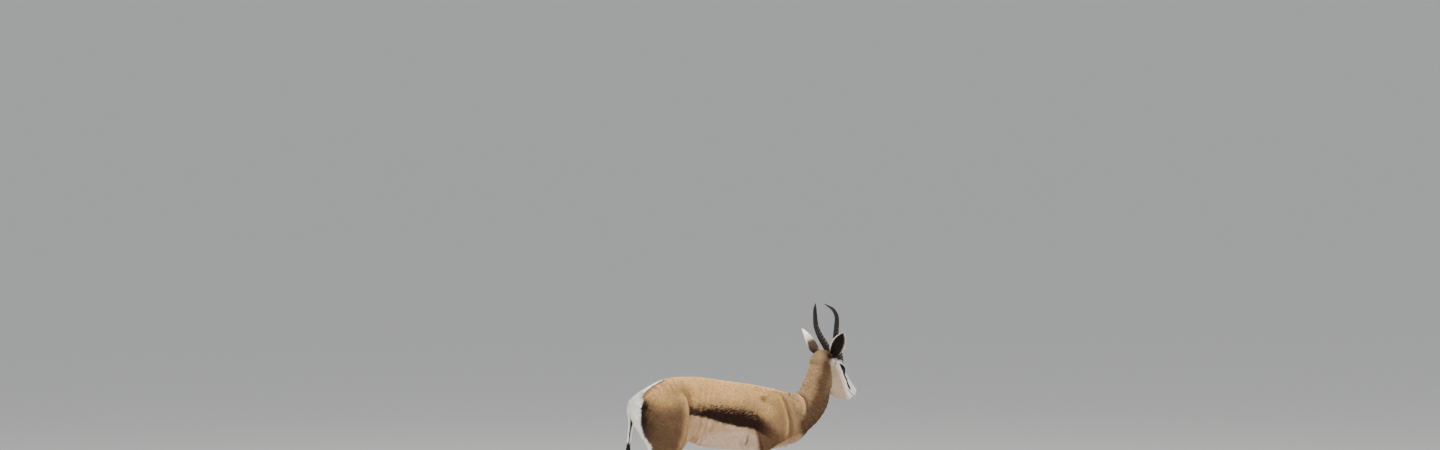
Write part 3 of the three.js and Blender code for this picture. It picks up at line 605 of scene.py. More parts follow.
GOLD = linear(212, 170, 112)
FAWN = linear(160, 127, 90)
# neck tones: the dark front is partly painted shade, the pale nape partly painted light
NECK_DARK = linear(98, 74, 52)
NECK_PALE = linear(148, 122, 92)
THIGH = linear(100, 76, 54)
BROWN = linear(78, 52, 33)
BAND = linear(36, 15, 6)
WHITE = linear(250, 246, 238)
# the white of the belly, the jaw and the tops of the inner legs, painted as it looks in warm shade
SHADED_WHITE = linear(188, 154, 120)
CREAM = linear(206, 184, 160)
# painted shade on the white cheek
CHEEK_SHADE = linear(120, 104, 92)
CROWN = linear(166, 136, 100)
BLACK = linear(20, 17, 15)
# dark inside of the ear: partly its own dark skin and hair, partly painted shade in the cup
EAR_INSIDE = linear(26, 19, 16)


def mix(base, other, amount):
    amount = np.clip(amount, 0, 1)[:, None]
    return base * (1 - amount) + other * amount


def wobble(p, size, seed=0.0):
    """A slow, smooth change from -1 to 1 over the body."""
    x, y, z = (p / size + seed).T
    first = np.sin(x * 1.7 + np.sin(y * 1.3 + seed))
    second = np.sin(y * 2.1 + np.sin(z * 1.9))
    return (first + second + np.sin(z * 1.6 + x)) / 3


def line_across(line, p):
    """Signed distance to a line drawn in side view, positive ahead of it, and the share of the line run."""
    line = np.array(line, float)
    q = p[:, [0, 2]]
    best, signed, share = np.full(len(p), np.inf), np.zeros(len(p)), np.zeros(len(p))
    for k, (a, b) in enumerate(zip(line[:-1], line[1:])):
        step = b - a
        t = np.clip((q - a) @ step / (step @ step), 0, 1)
        off = q - a - t[:, None] * step
        d = np.hypot(*off.T)
        nearer = d < best
        ahead = np.sign(off[:, 0] * step[1] - off[:, 1] * step[0]) * np.sign(step[1])
        best, signed = np.where(nearer, d, best), np.where(nearer, d * ahead, signed)
        share = np.where(nearer, (k + t) / (len(line) - 1), share)
    return signed, share


THIGH_FRONT = [(-196, 470), (-174, 512), (-158, 560), (-149, 610), (-145, 670), (-156, 722), (-190, 770)]
SHOULDER_FRONT = [(286, 534), (293, 575), (292, 622), (283, 672), (269, 716), (250, 745)]
NECK_BASE = [(372, 640), (377, 660), (378, 685), (368, 712), (345, 734)]
BAND_LINE = ((-160, 652, 672), (-138, 651, 678), (-100, 643, 676), (-44, 630, 681), (19, 609, 676))
BAND_LINE += ((82, 597, 668), (138, 586, 652), (175, 566, 630), (213, 545, 596), (250, 540, 575))


def painted_rim_light_and_shade(p, colour, line, pale, dark, reach=6):
    """Painted highlight on a rim behind a line of the body and painted shade in the hollow ahead of it."""
    off, share = line_across(line, p)
    ends = between(share, 0.0, 0.2, 0.8, 1.0)
    colour = mix(colour, GOLD * 1.1, pale * ends * bell(off + reach, reach))
    return mix(colour, BROWN * 0.8, dark * ends * bell(off - reach, reach))


def spot(p, x, z, wide, high):
    return np.exp(-(((p[:, 0] - x) / wide) ** 2) - ((p[:, 2] - z) / high) ** 2)


def body_colour(p, fray):
    """Golden back, paler flank, brown shoulder and thigh, and the two tones of the neck, partly painted
    shade and light.
    """
    x, _, z = p.T
    drift = wobble(p, 26, 7.0) * 10 + fray * 6
    colour = np.tile(FAWN, (len(p), 1))
    colour = mix(colour, GOLD, smooth(z + drift, 655, 735) * 0.95)
    # darker thigh: partly the coat's own brown, partly painted shade; darker still lower down, painted shade
    thigh = smooth(-x, 110, 190) * (1 - smooth(z + drift - (x + 250) * 0.2, 625, 730))
    colour = mix(colour, THIGH, thigh * 0.9)
    colour = mix(colour, THIGH * 0.85, thigh * (1 - smooth(z + (x + 250) * 0.35, 555, 640)) * 0.7)
    # brown low on the shoulder: partly the coat's own colour, partly painted shade under the shoulder
    shoulder = smooth(x, 110, 190) * (1 - smooth(z + (x - 177) * 0.95 + drift, 602, 680))
    colour = mix(colour, BROWN * 1.12, shoulder * 0.85)
    # pale spot on the shoulder blade: painted highlight
    colour = mix(colour, GOLD * 1.12, spot(p, 205, 660, 46, 26) * 0.75)
    # darker spots behind the shoulder blade and in front of the hip: painted shade in hollows
    colour = mix(colour, BROWN, spot(p, 186, 712, 20, 11) * 0.5 + spot(p, -196, 752, 44, 24) * 0.3)
    # painted highlights on the front rims of thigh and shoulder, painted shade in the folds ahead of them
    colour = painted_rim_light_and_shade(p, colour, THIGH_FRONT, 0.4, 0.5, 12)
    colour = painted_rim_light_and_shade(p, colour, SHOULDER_FRONT, 0.35, 0.4, 9)
    run = x + z * 0.35
    on_neck = smooth(run, 532, 576)
    line = np.interp(z, [560, 640, 700, 760, 820, 880], [300, 372, 409, 432, 452, 474])
    front = smooth(x - line + drift * 0.5, -16, 16)
    # the neck's dark front and pale nape: partly its own tones, partly painted shade on the front and
    # painted light on the nape
    colour = mix(colour, NECK_PALE, on_neck * 0.8)
    colour = mix(colour, NECK_DARK, on_neck * front)
    colour = mix(colour, NECK_PALE, on_neck * smooth(x - line, 32, 58) * smooth(z, 700, 780) * 0.5)
    # darker low on the neck's front: painted shade
    colour = mix(colour, BROWN, on_neck * front * (1 - smooth(z, 560, 700)) * 0.5)
    # pale spot on the bulge at the neck's base: painted highlight
    colour = mix(colour, GOLD * 1.2, spot(p, 346, 682, 20, 26) * 0.6)
    # painted highlight on the bulge at the neck's base, painted shade in the crease ahead of it
    return painted_rim_light_and_shade(p, colour, NECK_BASE, 0.3, 0.6, 8)


def flank_colour(p, colour, ragged, fray):
    """White belly, painted as it looks in warm shade, under a dark band that runs into the brown of the
    elbow.
    """
    x, y, z = p.T
    reach = np.abs(y)
    stops = np.array(BAND_LINE, float)
    lower = np.interp(x, stops[:, 0], stops[:, 1]) + ragged
    upper = np.interp(x, stops[:, 0], stops[:, 2]) + ragged * 1.6 + fray * 8
    thigh_edge, _ = line_across(THIGH_FRONT, p)
    flank = smooth(thigh_edge, -4, 5)
    white = smooth(lower - z, -3, 4) * flank * (1 - smooth(x, 140, 166))
    edge = np.interp(x, [-200, 100, 205, 290, 345], [528, 528, 500, 536, 550]) + ragged * 2
    leg_x = x - np.where(y > 0, FORE_STAGGER, 0)
    on_leg = np.maximum(between(leg_x, 135, 160, 212, 240), smooth(-x, 120, 160))
    under = smooth(edge - z + (70 - reach) * 0.5, -8, 14) * smooth(x, -200, -150)
    under = under * (1 - smooth(x, 350, 380)) * (1 - on_leg * smooth(reach, 36, 50))
    white = np.maximum(white, under)
    # the belly's white, painted in warm shade
    colour = mix(colour, SHADED_WHITE, white)
    colour = mix(colour, WHITE * 0.85, white * smooth(wobble(p, 40, 3.0), 0, 0.9) * 0.2)
    band = smooth(z - lower, -4, 5) * smooth(upper - z, -14, 10) * flank
    return mix(colour, BAND, band * (1 - smooth(x + fray * 6, 155, 240) * 0.95))


def leg_colour(p, colour, ragged):
    """Legs white inside and behind, brown in front and outside down to the knee and the hock."""
    x, y, z = p.T
    reach = np.abs(y)
    is_fore = x > -60
    ahead = np.where(y > 0, np.where(is_fore, FORE_STAGGER, HIND_STAGGER), 0)
    fore_line = FORE_X + np.interp(z, [430, 480, 520, 575], [4, 10, 4, -10])
    hind_line = HIND_X + np.interp(z, [250, 330, 380, 420, 470, 520, 560], [0, -2, 8, 16, 24, 32, 38])
    behind = np.where(is_fore, fore_line, hind_line) + ahead - x
    inner = np.where(is_fore, STANCE_FORE, STANCE_HIND) - reach
    legs = 1 - smooth(z, 430, 520)
    top = np.where(is_fore, 578, 530) + ragged * 2
    low = smooth(top - z, -8, 18)
    inside = smooth(inner + ragged * 1.4, -5, 8) * legs
    pale = np.maximum(inside, smooth(behind + ragged * 1.4, -3, 13) * 0.92)
    colour = mix(colour, FAWN, legs * np.interp(z, [100, 250, 400], [0.8, 0.7, 0.6]))
    colour = mix(colour, WHITE * 0.8, legs * np.interp(z, [60, 200, 330], [0.5, 0.35, 0]))
    fore_brown = np.interp(z, [100, 250, 330, 480], [0.05, 0.25, 0.55, 0.85])
    brown = np.where(is_fore, fore_brown, np.interp(z, [100, 480], [0.05, 0.55]))
    colour = mix(colour, BROWN * 1.25, (1 - pale) * smooth(z, 60, 110) * legs * brown)
    # near the body the pale legs turn to the painted warm shade of the belly
    light = mix(np.tile(WHITE * 0.9, (len(p), 1)), SHADED_WHITE, smooth(z, 430, 520) * 0.8)
    colour = mix(colour, light, low * pale)
    edge = bell(behind + 7, 7) * is_fore * between(z, 440, 510, 585, 610)
    colour = mix(colour, BAND, edge * smooth(reach, 60, 72) * 0.7)
    inside_thigh = smooth(60 - reach, -6, 10) * smooth(640 - z, 0, 40) * smooth(-x, 120, 160) * (1 - legs)
    colour = mix(colour, WHITE * 0.9, inside_thigh * 0.95)
    knee = bell(z - 270, 24) * is_fore * smooth(-behind, 2, 12)
    colour = mix(colour, BROWN * 0.9, knee * 0.6 * (1 - pale))
    # dark line in the crease between elbow and belly: painted shade
    crease_shade, share = line_across([(106, 510), (119, 565)], p)
    crease_shade = bell(crease_shade, 3.5) * between(share, 0.02, 0.3, 0.7, 0.98)
    colour = mix(colour, BAND, crease_shade * smooth(reach, 60, 72) * 0.9)
    return mix(colour, BROWN * 0.8, smooth(46 - z, 0, 8) * 0.7)


def rump_colour(p, colour, ragged, fray):
    """A white patch round the tail that runs to a point on the croup, edged with dark brown."""
    x, y, z = p.T
    reach = np.abs(y)
    half = np.interp(x, [-362, -352, -338, -330, -280, -245, -222], [64, 56, 45, 37, 23, 13, 0])
    half = half + ragged * 0.6
    low_edge = np.interp(z, [440, 480, 520, 560, 620, 680, 715], [-330, -312, -306, -338, -354, -350, -338])
    stagger = HIND_STAGGER * np.interp(z, [508, 565, 622, 680], [1, 0.7, 0.33, 0])
    low_edge = low_edge + np.where(y > 0, stagger, 0)
    rear = smooth(low_edge - x + ragged * 0.4, -3, 3) * smooth(z, 440, 500)
    top = smooth(half - reach, -2.5, 2.5) * smooth(-x, 216, 226) * smooth(z, 560, 640)
    patch = np.maximum(rear, top)
    outside = np.maximum(reach - half, 0)
    rim = bell(outside, 17) * smooth(-x, 214, 240) * smooth(z, 690, 725)
    colour = mix(colour, BROWN, rim * 0.8)
    within = np.maximum(x - low_edge + wobble(p, 14, 5.0) * 6 + fray * 7, 0)
    dark = np.minimum(1, 1.15 * np.exp(-((within / 44) ** 1.7)))
    dark = dark * smooth(z + wobble(p, 14, 9.0) * 8, 505, 620) * (1 - smooth(z + within * 0.35, 700, 742))
    colour = mix(colour, BAND * 0.9, dark * smooth(-x, 230, 270))
    return mix(colour, WHITE, patch)


def markings(p, fray=0.0):
    """The colour of the coat at points in the animal's frame. fray moves the soft edges, hair by hair."""
    ragged = wobble(p, 9, 1.0) * 3 + wobble(p, 3.2, 4.0) * 1.5 + fray * 1.2
    colour = body_colour(p, fray)
    colour = flank_colour(p, colour, ragged, fray)
    colour = leg_colour(p, colour, ragged)
    colour = rump_colour(p, colour, ragged, fray)
    return head_markings(p, colour)


def head_markings(p, colour):
    """White face with a brown forehead, a dark line from eye to mouth, and painted shade on the cheek and
    under the jaw.
    """
    q = head_space(p)
    x, y, z = q.T
    ragged = wobble(p, 5, 2.0) * 1.6
    border = x + (np.minimum(z, 2) - 10) * 1.09 + ragged * 2
    on_head = smooth(border, 4, 34) * smooth(p[:, 2], 640, 680) * smooth(p[:, 0], 440, 470)
    colour = mix(colour, WHITE * 0.95, on_head)
    # painted shade on the cheek
    colour = mix(colour, CHEEK_SHADE, on_head * spot(q, 66, -20, 44, 28) * 0.85)
    stripe_at = np.interp(x, [70, 104, 132, 167, 194, 210], [36, 25, 13, 2, -9, -14])
    # painted warm shade under the jaw, below the stripe
    jaw = smooth(stripe_at - z, 15, 34) * (1 - smooth(x, 205, 240) * 0.7)
    colour = mix(colour, SHADED_WHITE, on_head * jaw * 0.8)
    crown = smooth(z - np.abs(y) * 0.3, 10, 22) * (1 - smooth(x, 46, 66))
    colour = mix(colour, CROWN, on_head * crown)
    forehead = smooth(z, 30, 40) * smooth(x, 50, 66) * (1 - smooth(x + np.abs(y) * 0.9 + ragged, 108, 120))
    colour = mix(colour, BROWN * 1.1, on_head * forehead * smooth(27 - np.abs(y), 0, 6) * 0.9)
    patch = np.exp(-((x - 57) ** 2 + (z - 22) ** 2) / 80)
    colour = mix(colour, BROWN, on_head * patch * 0.95)
    line = stripe_at + ragged * 0.4
    width = np.interp(x, [72, 86, 96, 112, 126, 150, 196, 212], [0.5, 6.5, 11, 10.5, 6.6, 5.8, 5.2, 1])
    stripe = smooth(width - np.abs(z - line), -1.2, 1.2) * between(x, 72, 82, 206, 214)
    colour = mix(colour, BAND * 0.5, on_head * stripe * (np.abs(y) > 8))
    nose = smooth(x, 243, 249) * between(z, -14, -9, 3, 8) * smooth(16 - np.abs(y), 0, 5)
    colour = mix(colour, BLACK * 1.4, on_head * nose)
    lips = bell(z - mouth_line(x), 1.8) * smooth(x, 188, 198)
    colour = mix(colour, BLACK * 1.6, on_head * lips * 0.85)
    for s in SIDES:
        axis, opening, across, root = ear_frame(s)
        v = p - root
        # dark inside of the ear's root: partly its own, partly painted shade
        cup = between(v @ axis, 0, 8, 50, 60)
        cup = cup * smooth(v @ opening, -14, -8) * smooth(22 - np.abs(v @ across), 0, 6)
        colour = mix(colour, EAR_INSIDE, cup)
        rim = almond(q, s)
        close = eye_distance(q, s) < EYE_RADIUS * 1.9
        colour = mix(colour, BLACK, on_head * close * (1 - smooth(rim, 2.6, 5.6)))
        pit = nostril_distance(q, s)
        colour = mix(colour, BLACK, on_head * (1 - smooth(pit, 0.7, 1.3)))
    return colour


# Lids, nostrils and mouth

NOSTRIL = np.array([240.0, 11.0, -2.0])


def eye_distance(q, s):
    return np.linalg.norm(q - EYE * (1, s, 1), axis=1)


def nostril_distance(q, s):
    """How far points in head space are from the middle of a nostril, as a share of its size."""
    return np.linalg.norm((q - NOSTRIL * (1, s, 1)) / (9, 4.5, 5), axis=1)


def mouth_line(x):
    return np.interp(x, [180, 192, 215, 240, 256], [-17, -20, -22, -20, -19])


def eye_axes(s):
    out = unit([0.12, s, 0.14])
    back = np.array([-1.0, 0.0, 0.18])
    back = unit(back - out * (back @ out))
    up = np.cross(out, back)
    return out, back, up * (1 if up[2] > 0 else -1)


def almond(q, s):
    """How far points in head space are outside the opening between the lids, seen along the eye's axis."""
    _, back, up = eye_axes(s)
    r = q - EYE * (1, s, 1)
    a, v = r @ back, r @ up
    half = EYE_RADIUS * 0.86
    bulge = np.clip(1 - (a / half) ** 2, 0, 1)
    high, low = EYE_RADIUS * 0.56 * bulge, EYE_RADIUS * 0.5 * bulge
    beyond = np.maximum(np.abs(a) - half, 0)
    return np.hypot(np.where(v > 0, np.maximum(v - high, 0), np.maximum(-v - low, 0)), beyond) - (
        (beyond == 0) * np.maximum(np.minimum(high - v, low + v), 0)
    )


def sculpt_head(p):
    """Adds lids, nostrils and lips to skin points."""
    q = head_space(p)
    for s in SIDES:
        out, _, _ = eye_axes(s)
        centre = EYE * (1, s, 1)
        r = q - centre
        size = np.linalg.norm(r, axis=1)
        facing = (r @ out) / np.maximum(size, 1e-6)
        gap = almond(q, s)
        near = (size < EYE_RADIUS * 2.1) & (facing > 0.1)
        lid = EYE_RADIUS + 0.5 + 1.9 * smooth(gap, -0.2, 1.6) * (1 - smooth(gap, 5, 11))
        shell = np.where(gap < 0.1, EYE_RADIUS - 2.5, np.maximum(lid, np.where(gap > 4, size, 0)))
        blend_in = np.where(gap > 4, smooth(11 - gap, 0, 7), 1)
        target = size + (shell - size) * blend_in
        q = np.where(near[:, None], centre + r * (target / np.maximum(size, 1e-6))[:, None], q)
        hole = (q - NOSTRIL * (1, s, 1)) @ turn_about("Z", -0.6 * s)
        pit = np.linalg.norm(hole / (8.5, 3.6, 4.2), axis=1)
        q = q - np.outer(1 - smooth(pit, 0.35, 1.0), (5.0, 0.8 * s, -0.5))
        wing = np.exp(-((pit - 1.35) ** 2) / 0.12)
        q = q + np.outer(wing, (0.7, 0.5 * s, 0))
    x, y, z = q.T
    off = z - mouth_line(x)
    fade = smooth(x, 184, 194)
    inward = unit(np.stack([np.where(x > 236, x - 236, 0) + 0.2, y, np.zeros_like(y)], 1))
    groove = bell(off, 1.5) * 2.6 - bell(np.abs(off) - 4.2, 2.4) * 0.9
    q = q - inward * (groove * fade)[:, None]
    return q @ HEAD_TURN.T + HEAD_ORIGIN


# Muscles and folds under the coat


def fold(p, line, swell, dip, reach=34, soft=3.0):
    """A raised edge along a line in side view: swollen behind it and dipped ahead of it, in mm."""
    off, share = line_across(line, p)
    ends = smooth(share, 0.0, 0.16) * (1 - smooth(share, 0.84, 1.0))
    behind = swell * bell(off, reach)
    ahead = -dip * bell(off, 13)
    return ends * (behind + (ahead - behind) * smooth(off, -soft, soft))


def dimple(p, x, z, across, depth):
    return -depth * spot(p, x, z, across, across)


def muscle_forms(p, normals):
    facing = smooth(np.abs(normals[:, 1]), 0.25, 0.6)
    total = fold(p, SHOULDER_FRONT, 2.8, 2.6, soft=6) + fold(p, THIGH_FRONT, 3.0, 3.2, reach=40, soft=5)
    total += fold(p, NECK_BASE, 5.2, 3.6, reach=27, soft=7)
    total += dimple(p, 188, 712, 15, 3.8) + dimple(p, -128, 735, 24, 2.5) + dimple(p, -300, 640, 26, 1.5)
    total += dimple(p, 128, 575, 18, 2.0)
    off, share = line_across([(104, 504), (119, 568)], p)
    total -= 4.5 * bell(off, 7) * smooth(share, 0, 0.3) * (1 - smooth(share, 0.7, 1))
    ribs = np.sin((p[:, 0] + (p[:, 2] - 650) * 0.35) / 26 * 2 * np.pi) * smooth(p[:, 0], -40, 20)
    ribs = ribs * (1 - smooth(p[:, 0], 110, 150))
    ribs = ribs * smooth(p[:, 2], 590, 620) * (1 - smooth(p[:, 2], 690, 720))
    return facing * (total + ribs * 0.55)


# Lie of the coat


def group_distances(p):
    out = np.full((len(p), len(GROUPS)), 1e3)
    for part in PARTS:
        k = GROUPS.index(part["group"])
        far = far_from(part, p)
        near = far < 60
        if near.any():
            out[near, k] = np.minimum(out[near, k], distance_to(part, p[near]))
    return out


def along(part, p, sign):
    rows = part["rows"]
    nearest = nearest_row(rows, p)
    return rows[nearest, 3:6] * sign


def coat_flow(p, normals, near):
    """The way the hair lies at skin points: back along the body, down the limbs, up the face."""
    weight = np.exp(-np.maximum(near, 0) / 14) + 1e-6
    flow = np.zeros_like(p)
    neck = next(part for part in PARTS if part["group"] == "neck")
    skull = next(part for part in PARTS if part["group"] == "head")
    for k, group in enumerate(GROUPS):
        if group == "trunk":
            way = np.tile([-1.0, 0, -0.28], (len(p), 1))
        elif group == "neck":
            way = along(neck, p, -1) + (0, 0, -0.3)
        elif group == "head":
            way = along(skull, p, -1) + (0, 0, -0.1)
        else:
            legs = [part for part in PARTS if part["group"] == group and "rows" in part]
            way = along(legs[-1], p, 1)
            high = smooth(p[:, 2], 470, 560)[:, None]
            way = way * (1 - high) + np.array([-0.55, 0, -0.83]) * high
        flow += way * weight[:, k : k + 1]
    flow -= normals * np.sum(flow * normals, 1)[:, None]
    return unit(flow)


def coat_depth(p, near):
    """How far the skin lies under the tips of the coat, in mm."""
    z = p[:, 2]
    depth = 1.2 + 1.8 * smooth(z, 380, 520)
    head = np.exp(-np.maximum(near[:, 2], 0) / 10)
    return depth * (1 - head) + 1.2 * head


# An unwrap of the skin: one flat chart for each limb and each way that it faces


def charts(p, faces, near):
    centre = np.array([p[f].mean(0) for f in faces])
    normal = np.array([np.cross(p[f[1]] - p[f[0]], p[f[2]] - p[f[0]]) for f in faces])
    group = near[np.array([f[0] for f in faces])].argmin(1)
    axis = np.abs(normal).argmax(1)
    way = axis * 2 + (normal[np.arange(len(faces)), axis] > 0)
    chart = group * 6 + way
    flat = {}
    for c in np.unique(chart):
        keep = [k for k in range(3) if k != (c % 6) // 2]
        members = np.flatnonzero(chart == c)
        points = centre[members][:, keep]
        flat[c] = (keep, points.min(0) - 8, points.max(0) + 8)
    order = sorted(flat, key=lambda c: -(flat[c][2][1] - flat[c][1][1]))
    scale = 1 / 600
    while True:
        places, x, y, shelf = {}, 0.004, 0.004, 0.0
        for c in order:
            w, h = (flat[c][2] - flat[c][1]) * scale
            if x + w > 0.996:
                x, y, shelf = 0.004, y + shelf + 0.003, 0.0
            places[c] = np.array([x, y])
            x += w + 0.003
            shelf = max(shelf, h)
        if y + shelf < 0.996:
            break
        scale *= 0.97

    def place(index, points):
        c = chart[index]
        keep, low, _ = flat[c]
        return places[c] + (points[..., keep] - low) * scale

    return chart, place


# Materials


def set_sockets(node, values):
    for socket, value in values.items():
        node.inputs[socket.replace("_", " ")].default_value = value
    return node


def node_material(name, roughness, bump=0.0, bump_scale=400.0, stretch=(1, 1, 1), painted=True, **sockets):
    """A surface with a fine relief. A painted one takes its colour from the mesh, with slight blotches."""
    material = bpy.data.materials.new(name)
    material.use_nodes = True
    tree = material.node_tree
    link = tree.links.new
    shader = set_sockets(tree.nodes["Principled BSDF"], {"Roughness": roughness, **sockets})

    def add(kind, **values):
        return set_sockets(tree.nodes.new("ShaderNode" + kind), values)

    place = add("TexCoord")
    mapping = add("Mapping", Scale=stretch)
    link(place.outputs["Object"], mapping.inputs["Vector"])
    noise = add("TexNoise", Scale=bump_scale, Detail=5)
    link(mapping.outputs["Vector"], noise.inputs["Vector"])
    if bump:
        relief = add("Bump", Strength=bump, Distance=0.001)
        link(noise.outputs["Fac"], relief.inputs["Height"])
        link(relief.outputs["Normal"], shader.inputs["Normal"])
    if painted:
        colour = add("VertexColor")
        colour.layer_name = "hair_colour"
        blotch = add("TexNoise", Scale=34, Detail=6)
        link(place.outputs["Object"], blotch.inputs["Vector"])
        shade = add("MapRange", To_Min=0.84, To_Max=1.14)
        link(blotch.outputs["Fac"], shade.inputs["Value"])
        product = add("VectorMath")
        product.operation = "SCALE"
        link(colour.outputs["Color"], product.inputs[0])
        link(shade.outputs["Result"], product.inputs["Scale"])
        link(product.outputs["Vector"], shader.inputs["Base Color"])
    return material


COAT = node_material("coat", 0.75, bump=0.15, bump_scale=900, Specular_IOR_Level=0.2)
SKIN = node_material("skin", 0.85, bump=0.6, bump_scale=520, Specular_IOR_Level=0.2)
HORN = node_material("horn", 0.62, bump=0.5, bump_scale=260, stretch=(1, 1, 0.25), Specular_IOR_Level=0.3)
HOOF = node_material("hoof", 0.38, bump=0.3, bump_scale=300, stretch=(0.3, 0.3, 1))
EYE_GLOSS = node_material("eye", 0.08, IOR=1.36)


def dress(obj, material, slot, *replaced):
    obj.data.materials.clear()
    obj.data.materials.append(material)
    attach(obj, "root")
    if replaced:
        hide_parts(*replaced)
    return obj


# Tufts of six triangles each, in pieces of under 200,000 triangles

PIECE_TUFTS = 32000


def tufts(name, root, normal, flow, length, width, lift, colour, uv, sink=0.8, spread=0.11):
    """Thin leaf-shaped closed tufts that lie along the flow, in pieces of at most PIECE_TUFTS tufts, under
    200,000 triangles each.
    """
    jitter = RNG.normal(0, spread, len(root))[:, None]
    side = unit(np.cross(normal, flow))
    flow = unit(flow * np.cos(jitter) + side * np.sin(jitter))
    side = unit(np.cross(normal, flow))
    length, width, lift = (np.broadcast_to(v, len(root))[:, None] for v in (length, width, lift))
    base = root - normal * sink
    middle = base + flow * length * 0.42 + normal * (lift * 0.75 + sink)
    tip = base + flow * length + normal * (lift * 0.9 + sink)
    half = side * width / 2
    points = np.stack([base, middle - half, middle + half, middle + normal * width * 0.28, tip], 1)
    triangles = np.array([(0, 2, 1), (0, 1, 3), (0, 3, 2), (4, 1, 2), (4, 3, 1), (4, 2, 3)])
    tone = 1 + RNG.normal(0, 0.05, len(root))
    # darker at the root: painted shade among the hairs; a little lighter at the tip
    shade = np.array([0.88, 0.98, 0.98, 1.0, 1.05])
    colours = colour[:, None, :] * shade[None, :, None] * tone[:, None, None]
    patch = np.array([(0, -1), (-1, 0), (1, 0), (0, 0.2), (0, 1)]) * 0.0014
    places = uv[:, None, :] + patch[None]
    for k, start in enumerate(range(0, len(root), PIECE_TUFTS)):
        stop = min(len(root), start + PIECE_TUFTS)
        faces = (np.arange(stop - start)[:, None, None] * 5 + triangles[None]).reshape(-1, 3)
        piece = new_object(
            f"{name}_{k + 1}",
            points[start:stop].reshape(-1, 3),
            faces,
            colours[start:stop].reshape(-1, 3),
            places[start:stop][:, triangles].reshape(-1, 2),
        )
        dress(piece, COAT, "coat")


# The skin, fine round the eyes and the muzzle


def on_face(centre):
    q = head_space(centre)
    return (q[:, 0] > 0) & (np.linalg.norm(q - (120, 0, -10), axis=1) < 150) & (centre[:, 0] > 450)


def on_eyes_or_muzzle(centre):
    q = head_space(centre)
    eyes = [eye_distance(q, s) < 27 for s in SIDES]
    return eyes[0] | eyes[1] | (q[:, 0] > 196)


def make_skin():
    corners, quads = skin_mesh(SKIN_LOW, SKIN_HIGH, SKIN_STEP)
    corners = drawn_to_flesh(corners, rounds=1)
    loose = []
    fine_count = len(quads)
    for in_area in (on_face, on_eyes_or_muzzle):
        chosen = in_area(corners[quads].mean(1)) & (np.arange(len(quads)) < fine_count)
        corners, fine, others = split_quads(corners, quads, chosen)
        loose += [ring for ring in others if len(ring) != 4]
        quads = np.array(fine + [ring for ring in others if len(ring) == 4])
        fine_count = len(fine)
    return corners, quads.tolist() + loose


def body_skin():
    corners, faces = make_skin()
    in_reach = corners[:, 0] > 440
    corners[in_reach] = drawn_to_flesh(corners[in_reach], rounds=2)
    d, g = slope(corners)
    normals = unit(g)
    near = group_distances(corners)
    depth = coat_depth(corners, near)
    corners = corners - normals * (d + depth - muscle_forms(corners, normals))[:, None]
    on_head = (near[:, 2] < 25) & (corners[:, 0] > 470)
    corners[on_head] = sculpt_head(corners[on_head])
    keep = corners[:, 2] > HOOF_TOP - 12
    renumber = np.cumsum(keep) - 1
    faces = [[int(renumber[v]) for v in f] for f in faces if all(keep[v] for v in f)]
    return corners[keep], faces, normals[keep], near[keep]


corners, faces, normals, near = body_skin()
chart, place = charts(corners, faces, near)
uv_list = np.concatenate([place(i, corners[f]) for i, f in enumerate(faces)])
skin = new_object("skin", corners, faces, markings(corners), uv_list)
FLESH = ("torso", "neck", "head", "foreleg", "hindleg")
flesh_nodes = [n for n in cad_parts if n.split("_")[0] in FLESH]
dress(skin, SKIN, "coat", *flesh_nodes)


# Coat of the body


def spread_roots(corners, faces, normals, near, chart_place, spacing):
    """Random roots over the skin. spacing gives the mean area to a root, in square mm, at any point."""
    tris, home = [], []
    for i, f in enumerate(faces):
        for k in range(1, len(f) - 1):
            tris.append((f[0], f[k], f[k + 1]))
            home.append(i)
    tris, home = np.array(tris), np.array(home)
    a, b, c = (corners[tris[:, k]] for k in range(3))
    area = np.linalg.norm(np.cross(b - a, c - a), axis=1) / 2
    wanted = area / spacing((a + b + c) / 3)
    pick = np.repeat(np.arange(len(tris)), RNG.poisson(wanted))
    u, v = RNG.random(len(pick)), RNG.random(len(pick))
    over = u + v > 1
    u[over], v[over] = 1 - u[over], 1 - v[over]
    share = np.stack([1 - u - v, u, v], 1)[:, :, None]
    corner = tris[pick]
    root = np.sum(corners[corner] * share, 1)
    normal = unit(np.sum(normals[corner] * share, 1))
    close = np.sum(near[corner] * share, 1)
    uv = np.empty((len(pick), 2))
    face = home[pick]
    for k in np.unique(chart):
        mine = chart[face] == k
        if mine.any():
            uv[mine] = chart_place(face[mine][0], root[mine])
    return root, normal, close, uv


def is_head(close):
    return np.exp(-np.maximum(close[:, 2], 0) / 9)


def root_spacing(p):
    q = head_space(p)
    spacing = 6.5 - 1.2 * (1 - smooth(p[:, 2], 380, 520))
    face = smooth(q[:, 0], -5, 15) * smooth(p[:, 0], 440, 470) * smooth(p[:, 2], 640, 700)
    spacing = spacing * (1 - face) + 3.2 * face
    return spacing * (1 - 0.4 * smooth(q[:, 0], 190, 215) * face)


